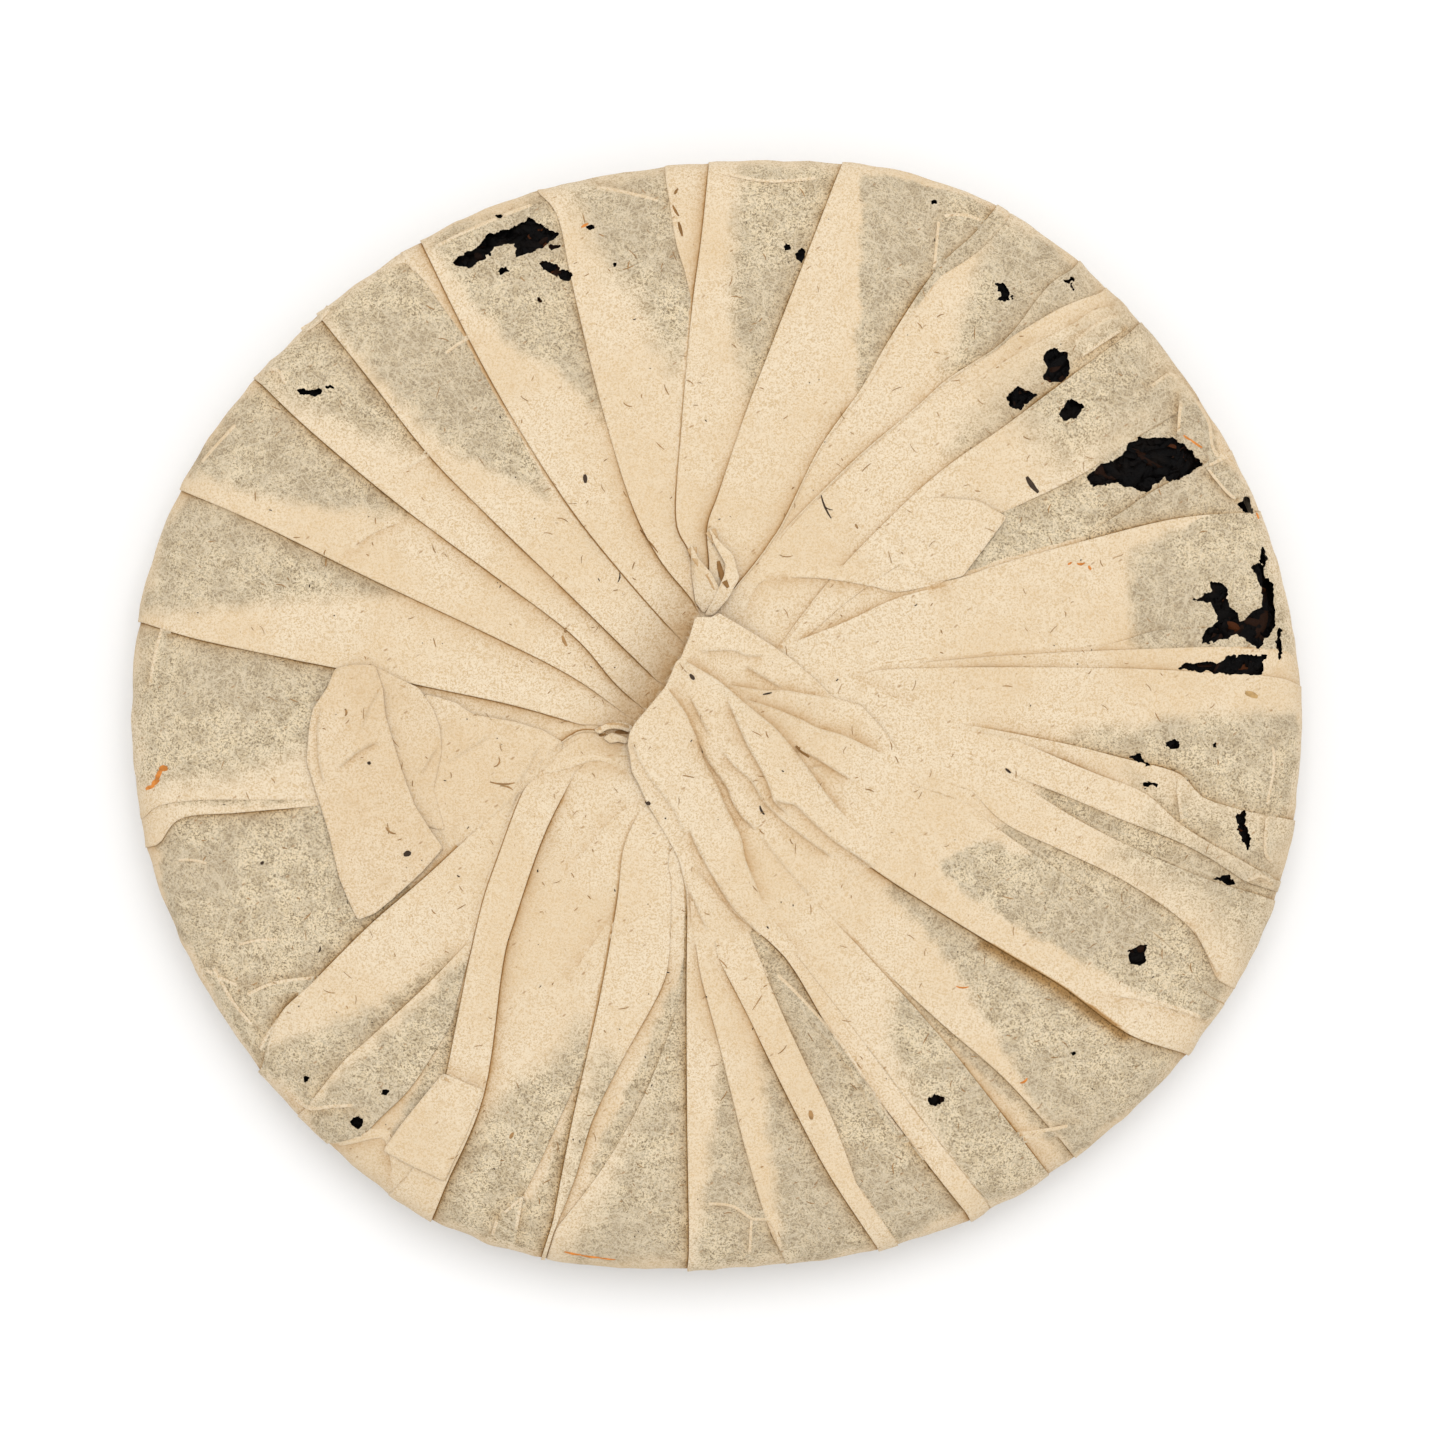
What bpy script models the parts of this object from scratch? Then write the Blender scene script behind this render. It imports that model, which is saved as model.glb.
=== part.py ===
"""A pressed cake of pu erh tea in its pleated cotton-paper wrapper.

The cake lies on its domed face, so the pleats, the twisted gather at their hub and
the loose flap are on top. Two nodes: the pressed tea, and the one sheet of paper
folded round it, which is torn through in places. +Z is up, and the origin is on the
surface that the cake rests on, under the middle of its outline.
"""
import math

import bmesh
import bpy
from mathutils import Vector, noise

MM = 0.001

# --- Outline of the wrapped cake, seen from above -----------------------------------
MEAN_RADIUS = 100.4
# Waves of the uneven outline: waves per turn, height in mm, bearing of a crest.
OUTLINE_WAVES = (
    (1, 0.42, -53.0),
    (2, 2.5, 10.0),
    (3, 0.39, -47.0),
    (4, 1.04, -28.0),
    (6, 0.47, 0.0),
    (8, 0.36, 21.0),
)

# --- Meridian: share of the outline's radius, and height in mm ----------------------
UNDERSIDE = ((0.46, 0.0), (0.64, 0.7), (0.80, 2.9), (0.91, 6.0), (0.98, 9.8))
RIM_HEIGHT = 13.4
RIM = ((1.0, RIM_HEIGHT),)
SHOULDER = ((0.992, 16.6), (0.965, 19.3), (0.915, 21.2), (0.820, 22.3))
TOP = ((0.640, 22.9), (0.470, 23.2), (0.330, 23.3), (0.220, 23.3))
GATHER = ((0.150, 23.3), (0.090, 23.3), (0.040, 23.3))
MERIDIAN = UNDERSIDE + RIM + SHOULDER + TOP + GATHER
CORE_HEIGHT = 11.6      # the middle of the cake, which its leaves lie around

# --- Paper --------------------------------------------------------------------------
PAPER_WALL = 0.7        # the sheet with its overlaps, as one wall
FIT_GAP = 0.3           # between the paper and the tea
FOLD_WIDTH = 0.5        # width over which a pleat steps down
PLEAT_SPREAD = 14.0     # distance over which a raised panel sinks back
FOLD_FADE = 7.0         # a fold dies out over this length at its inner end
RIM_RING = 97.0         # radii of the three rings on which a fold's bearing is given
MIDDLE_RING = 60.0
HUB_RING = 22.0
PANEL_STEP_DEG = 7.0    # widest spacing of the columns between two folds

CW, CCW = -1, 1
# The folds, counter-clockwise: bearing in degrees on the rim ring, the middle ring and
# the hub ring, the side whose panel lies on top, its step in mm, and the radius in mm
# at which the fold starts.
FOLDS = (
    (3.0, 8.0, 17.0, CW, 0.8, 20.0),
    (8.0, 10.5, 22.0, CW, 0.4, 34.0),
    (20.5, 27.0, 33.0, CW, 0.6, 36.0),
    (27.0, 30.5, 38.0, CW, 0.4, 66.0),
    (33.0, 35.0, 43.0, CCW, 0.6, 46.0),
    (42.7, 46.8, 49.0, CW, 1.0, 16.0),
    (50.7, 57.9, 68.0, CW, 0.8, 28.0),
    (61.1, 66.4, 80.0, CW, 1.0, 18.0),
    (77.1, 82.5, 90.0, CW, 0.9, 26.0),
    (91.0, 95.0, 99.0, CW, 0.9, 18.0),
    (108.8, 110.0, 107.0, CW, 1.2, 18.0),
    (122.0, 124.5, 122.0, CW, 1.1, 14.0),
    (135.0, 138.3, 143.0, CW, 1.0, 12.0),
    (144.0, 146.7, 157.0, CW, 0.9, 12.0),
    (157.2, 158.7, 170.0, CW, 0.9, 14.0),
    (170.8, 173.4, 184.0, CW, 1.0, 20.0),
    (193.0, 194.0, 190.0, CW, 0.8, 68.0),
    (217.9, 209.6, 196.0, CCW, 1.1, 26.0),
    (224.0, 222.6, 203.0, CCW, 0.7, 56.0),
    (233.0, 225.5, 209.0, CCW, 1.0, 32.0),
    (240.5, 231.5, 215.0, CW, 0.8, 26.0),
    (252.0, 248.7, 232.0, CCW, 1.0, 20.0),
    (254.5, 255.1, 246.0, CW, 0.8, 40.0),
    (267.0, 265.2, 254.0, CCW, 1.2, 26.0),
    (277.0, 271.2, 260.0, CCW, 0.7, 30.0),
    (285.0, 278.7, 266.0, CCW, 0.7, 42.0),
    (287.5, 283.8, 272.0, CW, 0.5, 36.0),
    (297.0, 290.4, 279.0, CCW, 1.0, 20.0),
    (306.0, 303.8, 291.0, CW, 0.8, 40.0),
    (310.0, 306.5, 300.0, CCW, 0.8, 54.0),
    (324.0, 320.0, 311.0, CCW, 1.3, 14.0),
    (333.0, 339.0, 328.0, CCW, 0.6, 46.0),
    (342.0, 346.3, 338.0, CW, 0.6, 54.0),
    (345.0, 352.7, 349.0, CW, 0.7, 52.0),
    (349.6, 355.3, 364.0, CW, 0.8, 42.0),
)

# --- Twisted gather: the left and top pleats dive under the lobes of the others ------
SLIT_START = Vector((-3.5, 16.8))
SLIT_END = Vector((-15.0, -3.0))
SLIT_DEPTH = 3.6
SLIT_SPREAD = 7.0
LOBE_HEIGHT = 1.2
LOBE_SPREAD = 15.0

# --- Loose flap and the strip's turned-over end: outlines in mm, laid on the pleats --
FLAP = (
    (-66.0, 8.0), (-59.0, 8.4), (-51.5, 4.6), (-47.8, -2.5), (-51.0, -13.0),
    (-46.7, -23.6), (-50.0, -28.0), (-55.0, -32.7), (-62.0, -35.2), (-65.3, -28.5),
    (-70.8, -8.0), (-69.8, 1.0),
)
STRIP_END = ((-47.5, -62.0), (-57.5, -75.3), (-54.0, -78.5), (-46.5, -80.0), (-40.3, -64.8))
FLAP_TOP = 24.0
STRIP_END_TOP = 22.7
FLAP_ROOT = 2.2         # how deep a flap's body reaches into the pleats below it

# --- Tears: centre x and y, length, width in mm, and the bearing of the length -------
TEARS = (
    (-40.5, 80.6, 12.5, 4.6, 25.0),
    (-31.6, 83.3, 9.5, 5.6, 10.0),
    (-28.0, 77.2, 6.0, 2.4, -15.0),
    (-70.5, 56.0, 4.6, 1.6, 15.0),
    (14.2, 80.0, 2.8, 2.0, -20.0),
    (49.6, 73.5, 3.6, 2.6, 70.0),
    (58.8, 60.7, 5.8, 5.0, 60.0),
    (53.0, 54.6, 5.8, 3.0, 10.0),
    (61.2, 52.8, 4.8, 3.8, 15.0),
    (70.0, 42.4, 12.0, 5.2, 25.0),
    (78.0, 44.2, 12.0, 8.0, -5.0),
    (92.2, 37.2, 3.2, 3.0, 60.0),
    (85.6, 20.2, 9.0, 3.0, 12.0),
    (90.0, 16.2, 10.0, 4.6, 62.0),
    (95.3, 18.6, 14.0, 4.0, 93.0),
    (87.8, 8.5, 15.0, 2.8, 0.0),
    (73.0, -7.6, 3.6, 1.8, -12.0),
    (79.0, -5.2, 2.2, 2.0, 0.0),
    (91.6, -20.2, 6.4, 2.4, 100.0),
    (88.8, -28.8, 4.6, 1.6, -22.0),
    (73.0, -41.5, 3.6, 3.4, 0.0),
    (38.0, -66.8, 2.9, 2.1, 0.0),
    (-62.5, -70.8, 2.4, 2.2, 0.0),
)
TEAR_POINTS = 9
TEAR_RAGGED = 0.16      # how far a tear's edge strays, as a share of its size
TEAR_FLOOR = 13.8       # tears cut from here upwards, clear of the underside
TEAR_CEILING = 27.0

# --- Pressed tea --------------------------------------------------------------------
TEA_COLUMNS = 48
TEA_ROUGHNESS = 0.35    # leaves lie this far below the cake's smooth surface
TEA_GRAIN = 9.0         # size of the lumps in the leaf
DIMPLE_DEPTH = 5.0      # the cloth bag's knot presses this hollow in the back
DIMPLE_RADIUS = 18.0

# Colours, linear RGB
PAPER_COLOUR = (0.80, 0.64, 0.43)
TEA_COLOUR = (0.012, 0.008, 0.005)


# --- Shape functions, in mm and degrees ---------------------------------------------
def outline_radius(bearing):
    """Radius of the wrapped cake's outline on a bearing."""
    waves = (height * math.cos(math.radians(count * (bearing - crest)))
             for count, height, crest in OUTLINE_WAVES)
    return MEAN_RADIUS + sum(waves)


def on_bearing(radius, bearing, z):
    angle = math.radians(bearing)
    return Vector((radius * math.cos(angle), radius * math.sin(angle), z))


def smoothstep(value):
    value = min(max(value, 0.0), 1.0)
    return value * value * (3.0 - 2.0 * value)


def inset_meridian(depth):
    """The meridian moved inwards along its own normals by depth."""
    points = [Vector((share * MEAN_RADIUS, z)) for share, z in MERIDIAN]
    moved = []
    for i, point in enumerate(points):
        before = points[max(i - 1, 0)]
        after = points[min(i + 1, len(points) - 1)]
        along = (after - before).normalized()
        inward = Vector((-along.y, along.x))
        moved.append(point + inward * depth)
    return [(point.x / MEAN_RADIUS, point.y) for point in moved]


def gather_relief(x, y):
    """Height of the twisted gather over the plain top: a slit beside raised lobes."""
    along = SLIT_END - SLIT_START
    offset = Vector((x, y)) - SLIT_START
    place = offset.dot(along) / along.length_squared
    side = (along.x * offset.y - along.y * offset.x) / along.length
    window = math.exp(-(((place - 0.5) / 0.62) ** 4))
    hollow = -SLIT_DEPTH * math.exp(-((side / SLIT_SPREAD) ** 2))
    lobe = LOBE_HEIGHT * math.exp(-((side / LOBE_SPREAD) ** 2))
    share = smoothstep(side / 2.4 + 0.5)
    return window * (hollow + (lobe - hollow) * share)


def fold_bearing(fold, radius):
    """Bearing of a fold where it crosses a circle of the given radius."""
    rim, middle, hub = fold[:3]
    if radius >= MIDDLE_RING:
        share = min((radius - MIDDLE_RING) / (RIM_RING - MIDDLE_RING), 1.0)
        return middle + (rim - middle) * share
    share = max((radius - HUB_RING) / (MIDDLE_RING - HUB_RING), 0.0)
    return hub + (middle - hub) * share


def fold_step(fold, radius, on_side):
    """Height of the panel edge on one side of a fold, at a radius."""
    top_side, step, start = fold[3:]
    if top_side != on_side:
        return 0.0
    inner = smoothstep((radius - start) / FOLD_FADE + 0.5)
    outer = smoothstep((RIM_RING + 2.0 - radius) / 5.0)
    return step * inner * outer


def ring_of_pleats(share, z):
    """One ring of the wrapper's points, with two close columns at each fold."""
    radius = share * MEAN_RADIUS
    points = []
    for i, fold in enumerate(FOLDS):
        turn = 360.0 if i == len(FOLDS) - 1 else 0.0
        following = FOLDS[(i + 1) % len(FOLDS)]
        middle_gap = following[1] + turn - fold[1]
        inner_columns = max(1, round(middle_gap / PANEL_STEP_DEG))
        edge = math.degrees(0.5 * FOLD_WIDTH / max(radius, HUB_RING))
        start = fold_bearing(fold, radius) + edge
        end = fold_bearing(following, radius) + turn - edge
        start_height = fold_step(fold, radius, CCW)
        end_height = fold_step(following, radius, CW)
        for k in range(inner_columns + 2):
            bearing = start + (end - start) * k / (inner_columns + 1)
            from_start = math.radians(bearing - start) * radius
            from_end = math.radians(end - bearing) * radius
            relief = max(
                start_height * max(0.0, 1.0 - from_start / PLEAT_SPREAD),
                end_height * max(0.0, 1.0 - from_end / PLEAT_SPREAD),
            )
            point = on_bearing(share * outline_radius(bearing), bearing, z)
            if z > RIM_HEIGHT:
                point.z += relief + gather_relief(point.x, point.y)
            points.append(point)
    return points


def dimple(radius):
    return DIMPLE_DEPTH * math.exp(-((radius / DIMPLE_RADIUS) ** 2))


def ring_of_tea(share, z, roughness):
    """One ring of the pressed cake, or of the smooth space it fills."""
    points = []
    for k in range(TEA_COLUMNS):
        bearing = 360.0 * k / TEA_COLUMNS
        point = on_bearing(share * outline_radius(bearing), bearing, z)
        if z > RIM_HEIGHT:
            point.z -= dimple(share * MEAN_RADIUS)
        lump = 0.5 + 0.5 * noise.noise(point / TEA_GRAIN)
        inward = Vector((0.0, 0.0, CORE_HEIGHT)) - point
        points.append(point + inward.normalized() * roughness * min(max(lump, 0.0), 1.0))
    return points


# --- Building -----------------------------------------------------------------------
def clear_scene():
    for old in list(bpy.data.objects):
        bpy.data.objects.remove(old, do_unlink=True)


def new_collection(name):
    collection = bpy.data.collections.new(name)
    bpy.context.scene.collection.children.link(collection)
    return collection


def new_material(name, colour, roughness):
    material = bpy.data.materials.new(name)
    material.use_nodes = True
    shader = material.node_tree.nodes["Principled BSDF"]
    shader.inputs["Base Color"].default_value = (*colour, 1.0)
    shader.inputs["Roughness"].default_value = roughness
    shader.inputs["Metallic"].default_value = 0.0
    material.diffuse_color = (*colour, 1.0)
    return material


def add_object(name, mesh, collection, material=None):
    obj = bpy.data.objects.new(name, mesh)
    collection.objects.link(obj)
    if material:
        mesh.materials.append(material)
    return obj


def loft(name, rings):
    """A closed mesh through rings of equal count, listed from the bottom to the top."""
    bm = bmesh.new()
    grid = [[bm.verts.new(point * MM) for point in ring] for ring in rings]
    count = len(grid[0])
    for lower, upper in zip(grid, grid[1:]):
        for i in range(count):
            j = (i + 1) % count
            bm.faces.new((lower[i], lower[j], upper[j], upper[i]))
    bm.faces.new(list(reversed(grid[0])))
    bm.faces.new(grid[-1])
    bmesh.ops.recalc_face_normals(bm, faces=bm.faces)
    mesh = bpy.data.meshes.new(name)
    bm.to_mesh(mesh)
    bm.free()
    return mesh


def prism(name, outline, bottom, top, collection):
    """A flat outline extruded between two heights, as a mesh object."""
    curve = bpy.data.curves.new(name, "CURVE")
    curve.dimensions = "2D"
    curve.fill_mode = "BOTH"
    curve.extrude = 0.5 * (top - bottom) * MM
    spline = curve.splines.new("POLY")
    spline.points.add(len(outline) - 1)
    for point, (x, y) in zip(spline.points, outline):
        point.co = (x * MM, y * MM, 0.0, 1.0)
    spline.use_cyclic_u = True
    guide = bpy.data.objects.new(name, curve)
    collection.objects.link(guide)
    guide.location.z = 0.5 * (top + bottom) * MM
    bpy.context.view_layer.update()
    evaluated = guide.evaluated_get(bpy.context.evaluated_depsgraph_get())
    mesh = bpy.data.meshes.new_from_object(evaluated)
    mesh.transform(guide.matrix_world)
    bpy.data.objects.remove(guide, do_unlink=True)
    bm = bmesh.new()
    bm.from_mesh(mesh)
    bmesh.ops.remove_doubles(bm, verts=bm.verts, dist=0.00001)
    bmesh.ops.recalc_face_normals(bm, faces=bm.faces)
    bm.to_mesh(mesh)
    bm.free()
    return as_cutter(name, mesh, collection)


def as_cutter(name, mesh, collection):
    cutter = add_object(name, mesh, collection)
    cutter.display_type = "WIRE"
    cutter.hide_render = True
    return cutter


def add_boolean(obj, other, operation):
    modifier = obj.modifiers.new(f"{operation.title()} {other.name}", "BOOLEAN")
    modifier.operation = operation
    modifier.solver = "EXACT"
    modifier.object = other


def tear_outline(tear, number):
    """The ragged edge of one tear, an ellipse whose radius wanders."""
    x, y, length, width, bearing = tear
    turn = math.radians(bearing)
    points = []
    for k in range(TEAR_POINTS):
        angle = 2.0 * math.pi * k / TEAR_POINTS
        wander = noise.noise(Vector((2.0 * math.cos(angle), 2.0 * math.sin(angle), 3.7 * number)))
        size = 0.5 * (1.0 + 2.0 * TEAR_RAGGED * wander)
        along, across = size * length * math.cos(angle), size * width * math.sin(angle)
        points.append((x + along * math.cos(turn) - across * math.sin(turn),
                       y + along * math.sin(turn) + across * math.cos(turn)))
    return points


def build_tea(parts):
    """The pressed cake: rough with leaf, and hollowed at the back by the bag's knot."""
    meridian = inset_meridian(PAPER_WALL + FIT_GAP)
    rings = [ring_of_tea(share, z, TEA_ROUGHNESS) for share, z in meridian]
    material = new_material("Pressed tea", TEA_COLOUR, 0.7)
    add_object("tea_cake", loft("tea_cake", rings), parts, material)


def build_wrapper(parts, cutters):
    """The sheet of paper: a pleated outer face, a smooth space inside, and its tears."""
    rings = [ring_of_pleats(share, z) for share, z in MERIDIAN]
    material = new_material("Cotton paper", PAPER_COLOUR, 0.85)
    wrapper = add_object("paper_wrapper", loft("paper_wrapper", rings), parts, material)

    flap = prism("loose_flap", FLAP, FLAP_TOP - FLAP_ROOT, FLAP_TOP, cutters)
    strip_end = prism("strip_end", STRIP_END, STRIP_END_TOP - FLAP_ROOT, STRIP_END_TOP, cutters)
    add_boolean(wrapper, flap, "UNION")
    add_boolean(wrapper, strip_end, "UNION")

    space = [ring_of_tea(share, z, 0.0) for share, z in inset_meridian(PAPER_WALL)]
    inside = as_cutter("space_for_tea", loft("space_for_tea", space), cutters)
    add_boolean(wrapper, inside, "DIFFERENCE")

    for number, tear in enumerate(TEARS, start=1):
        outline = tear_outline(tear, number)
        cutter = prism(f"tear_{number}", outline, TEAR_FLOOR, TEAR_CEILING, cutters)
        add_boolean(wrapper, cutter, "DIFFERENCE")


def main():
    clear_scene()
    parts = new_collection("Pu erh tea cake")
    cutters = new_collection("Cutters")
    build_tea(parts)
    build_wrapper(parts, cutters)


main()
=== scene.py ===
"""Looks of the pu erh tea cake: pleated cotton paper over dark pressed leaf.

All lengths below are in millimetres, in the frame's own axes: +X to the right, +Y away
and +Z up through the cake, with the origin on the resting surface.
"""
import math
import random

import bmesh
import bpy
import numpy as np
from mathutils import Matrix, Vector, noise
from mathutils.bvhtree import BVHTree
from mathutils.geometry import delaunay_2d_cdt


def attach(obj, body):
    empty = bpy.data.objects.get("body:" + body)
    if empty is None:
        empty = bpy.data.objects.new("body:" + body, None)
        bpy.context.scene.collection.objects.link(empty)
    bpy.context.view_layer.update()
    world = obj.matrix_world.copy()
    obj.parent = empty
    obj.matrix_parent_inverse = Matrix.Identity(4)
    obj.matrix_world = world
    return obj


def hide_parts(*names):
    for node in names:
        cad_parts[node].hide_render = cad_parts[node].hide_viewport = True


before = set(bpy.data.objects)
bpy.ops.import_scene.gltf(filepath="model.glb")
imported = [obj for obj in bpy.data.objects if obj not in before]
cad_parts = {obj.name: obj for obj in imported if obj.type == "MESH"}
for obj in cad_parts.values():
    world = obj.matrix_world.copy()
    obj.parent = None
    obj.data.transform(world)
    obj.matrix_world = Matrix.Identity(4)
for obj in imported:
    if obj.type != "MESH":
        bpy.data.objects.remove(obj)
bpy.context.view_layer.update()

MM = 0.001
CW, CCW = -1, 1
LEFT, RIGHT = 1, -1

# --- Outline and meridian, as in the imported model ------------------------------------
MEAN_RADIUS = 100.4
OUTLINE_WAVES = (
    (1, 0.42, -53.0), (2, 2.5, 10.0), (3, 0.39, -47.0),
    (4, 1.04, -28.0), (6, 0.47, 0.0), (8, 0.36, 21.0),
)
NOMINAL_RADIUS = 100.0  # the meridian is drawn for a round outline of this radius
# Radius and height, from the hub over the rim to the underside.
MERIDIAN = (
    (0.0, 23.3), (22.0, 23.3), (47.0, 23.2), (64.0, 22.9), (82.0, 22.2), (91.5, 20.9),
    (96.6, 18.9), (99.2, 16.4), (100.0, 13.4), (98.0, 9.8), (91.0, 6.0), (80.0, 2.9),
    (64.0, 0.7), (46.0, 0.0), (20.0, 0.0), (0.0, 0.0),
)
SEAM_HEIGHT = 8.6       # the top's skin ends here, where the underside's starts

# --- Folds, counter-clockwise from the right: name, side whose panel lies on top, step,
# and the fold's line from the rim to its inner end ----------------------------------
FOLDS = (
    ("f16", CW, 0.45, ((102.5, 4.8), (97, 6.5), (85, 7.3), (66, 8.1), (33, 8), (25, 7), (20, 6.3))),
    ("f15", CW, 0.4, ((88.5, 11.8), (70, 11.2), (50, 10.2), (33, 8.8))),
    ("f15b", CW, 0.3, ((80, 15), (75, 14.3), (70, 12.7), (65, 11.8))),
    ("f14", CW, 0.65, ((94, 35.2), (80, 34), (63.5, 30), (50, 26.3), (42.5, 23.8), (33, 21.3))),
    ("f14b", CW, 0.5, ((84.7, 43.5), (75, 38.3), (70, 34.9), (63, 30.6))),
    ("f13", CCW, 0.6, ((66, 43.3), (60, 40), (50, 35.2))),
    ("f12", CW, 0.7, ((72, 66.5), (60, 57.5), (50, 50), (40, 43), (32, 36), (20, 23.7),
        (10.5, 11.5))),
    ("f10", CW, 0.4, ((67, 73.5), (60, 70.7), (54, 67.2), (50.6, 65.2))),
    ("f9", CW, 0.5, ((62, 77.5), (58.5, 75.2), (55.6, 72), (52.7, 68), (48.7, 63.7), (40, 58),
        (35, 53.5), (25, 45), (15, 35.3), (10, 30))),
    ("f8b", CW, 0.35, ((50, 85), (45, 80), (38, 75.5))),
    ("f8", CW, 0.75, ((48.5, 88), (44.5, 83.2), (38, 77), (30, 65), (25, 56.3), (17.5, 45.5),
        (10, 30.3), (0.5, 18.3))),
    ("f7", CW, 0.8, ((22, 96.2), (17, 83), (10, 65), (5, 52), (0.5, 38.5), (-1.5, 32.5), (-1.2, 26),
        (-1.4, 19))),
    ("f6", CW, 0.8, ((-1.3, 95), (-2.5, 83), (-4.2, 70), (-6, 50), (-7, 34), (-4.5, 27.5),
        (-3, 18))),
    ("f6b", CW, 0.35, ((-8.7, 92.7), (-7, 82), (-5.5, 77), (-4.4, 72))),
    ("f5", CW, 0.5, ((-31, 91), (-27.5, 86.5), (-25, 75), (-20.5, 56), (-15, 37.5), (-10, 27.3),
        (-5, 21), (-2.3, 17.3))),
    ("f4", CW, 1.05, ((-51, 81.7), (-43, 65.5), (-35, 51), (-25, 35.5), (-15, 23), (-5.5, 12.3))),
    ("f4b", CW, 0.35, ((-54, 79), (-50.5, 75), (-47, 70), (-43.5, 65.3))),
    ("f3", CW, 1.05, ((-68.5, 68.7), (-60, 58.1), (-50, 45.3), (-40, 35), (-25, 20.5), (-9, 4.8))),
    ("f2", CW, 1, ((-79, 57.5), (-70, 49), (-55, 36.5), (-40, 25.3), (-25, 14), (-17.5, 5.5),
        (-12, 0.5))),
    ("f1", CW, 0.8, ((-94, 39.5), (-80, 33.5), (-60, 23.7), (-40, 14.3), (-25, 6.7), (-15, -0.5))),
    ("f39", CW, 1, ((-99.8, 16.1), (-90, 13.2), (-75, 10), (-65, 8), (-50, 4.9), (-35, 1.7),
        (-20.5, -2.5))),
    ("f38u", CW, 0.3, ((-100, -18), (-97, -15.8), (-90, -14.8), (-80, -14.7), (-70, -14.8))),
    ("f38", CW, 0.7, ((-97, -22.5), (-93, -17.9), (-83, -16.9), (-69, -15.7))),
    ("f37", CCW, 1.1, ((-79, -61.5), (-76, -52.5), (-70, -46.5), (-60, -36.5), (-50, -27.8),
        (-38, -16.5), (-29.5, -7.6), (-24.5, -3.6), (-20.5, -2.9), (-16, -4.2))),
    ("f36", CCW, 0.6, ((-71, -68), (-65, -60.5), (-60, -56), (-50, -46.7), (-42.3, -38.7))),
    ("f35", CW, 0.5, ((-68.3, -75), (-62, -73), (-58, -69.5), (-53, -64.5), (-48, -57),
        (-45.3, -52.5))),
    ("f34", CCW, 1.45, ((-50, -75), (-46.7, -62.3), (-45, -54), (-41, -34.5), (-38, -25),
        (-34, -14), (-31.5, -10))),
    ("f33", CW, 1.2, ((-49.7, -88), (-47, -81.5), (-40.3, -65.5), (-37, -43), (-35, -35.5),
        (-30, -21), (-24.3, -9.5))),
    ("f31", CW, 0.5, ((-33.7, -83.7), (-30, -76), (-25, -65), (-23.3, -61.3))),
    ("f30", CCW, 1.05, ((-28.3, -88), (-24.8, -70), (-20.3, -50), (-17.2, -33), (-16, -23),
        (-13, -16))),
    ("f28", CW, 0.7, ((-28, -89), (-24.5, -80), (-21.5, -70), (-16, -59), (-9.5, -47), (-8, -40))),
    ("f28b", CCW, 0.4, ((-28, -89.5), (-20, -79), (-13, -67), (-8.5, -56), (-6, -48))),
    ("f27", CCW, 1.4, ((-5, -96.5), (-4.7, -91), (-5, -70), (-5.1, -48), (-5, -31), (-6, -26))),
    ("f26", CCW, 0.6, ((12, -95), (9, -88.5), (5, -75), (0, -55), (-2.7, -45), (-4, -36),
        (-5, -29))),
    ("f25", CCW, 0.95, ((28, -92.5), (20, -80.3), (15, -71.2), (10, -61.3), (5, -51), (0, -41.5))),
    ("f25r", CW, 0.5, ((24.5, -82), (20, -70), (15, -59.7), (10, -48.7), (5, -36))),
    ("f23", CCW, 1.5, ((43.5, -86.5), (38, -79.5), (30, -69), (20, -55), (12, -42), (3, -34),
        (0, -28.5))),
    ("f24", CCW, 0.25, ((25, -56), (20, -49.5), (15, -43), (10, -36.3), (5, -25))),
    ("f22l", CW, 0.7, ((58.5, -81), (50, -70), (40, -57.3), (30, -46), (20, -35.3))),
    ("f22r", CCW, 0.7, ((60, -74), (50, -63), (40, -54.3), (30, -45.2))),
    ("f21", CCW, 1.2, ((81.5, -58.8), (71, -55), (60, -47), (50, -41), (30, -28.5), (20, -21),
        (13, -15.5))),
    ("f20l", CW, 0.3, ((70, -34), (60, -27.5), (50, -20.7), (43, -15))),
    ("f20", CCW, 0.5, ((87, -46), (82.5, -37.3), (72, -29.5), (60, -23.5), (50, -18.8), (44, -13))),
    ("f19", CW, 0.5, ((93, -31), (86.3, -29), (77.8, -25.6), (67, -20.6), (59.3, -16.3),
        (53.1, -12.1))),
    ("f19u", CCW, 0.6, ((92, -29), (85.5, -24.8), (79.3, -21.6), (70, -18), (60, -13.8),
        (53, -11.2))),
    ("f18", CW, 0.6, ((97, -28.7), (90, -24.7), (85, -22), (80, -18.7), (74, -13.5), (65, -10),
        (52, -4.5))),
    ("f17", CW, 0.7, ((95.5, -17.5), (90, -16.3), (84, -14.2), (80, -10.2), (70, -7.5), (60, -5),
        (42, -1.5))),
)
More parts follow.
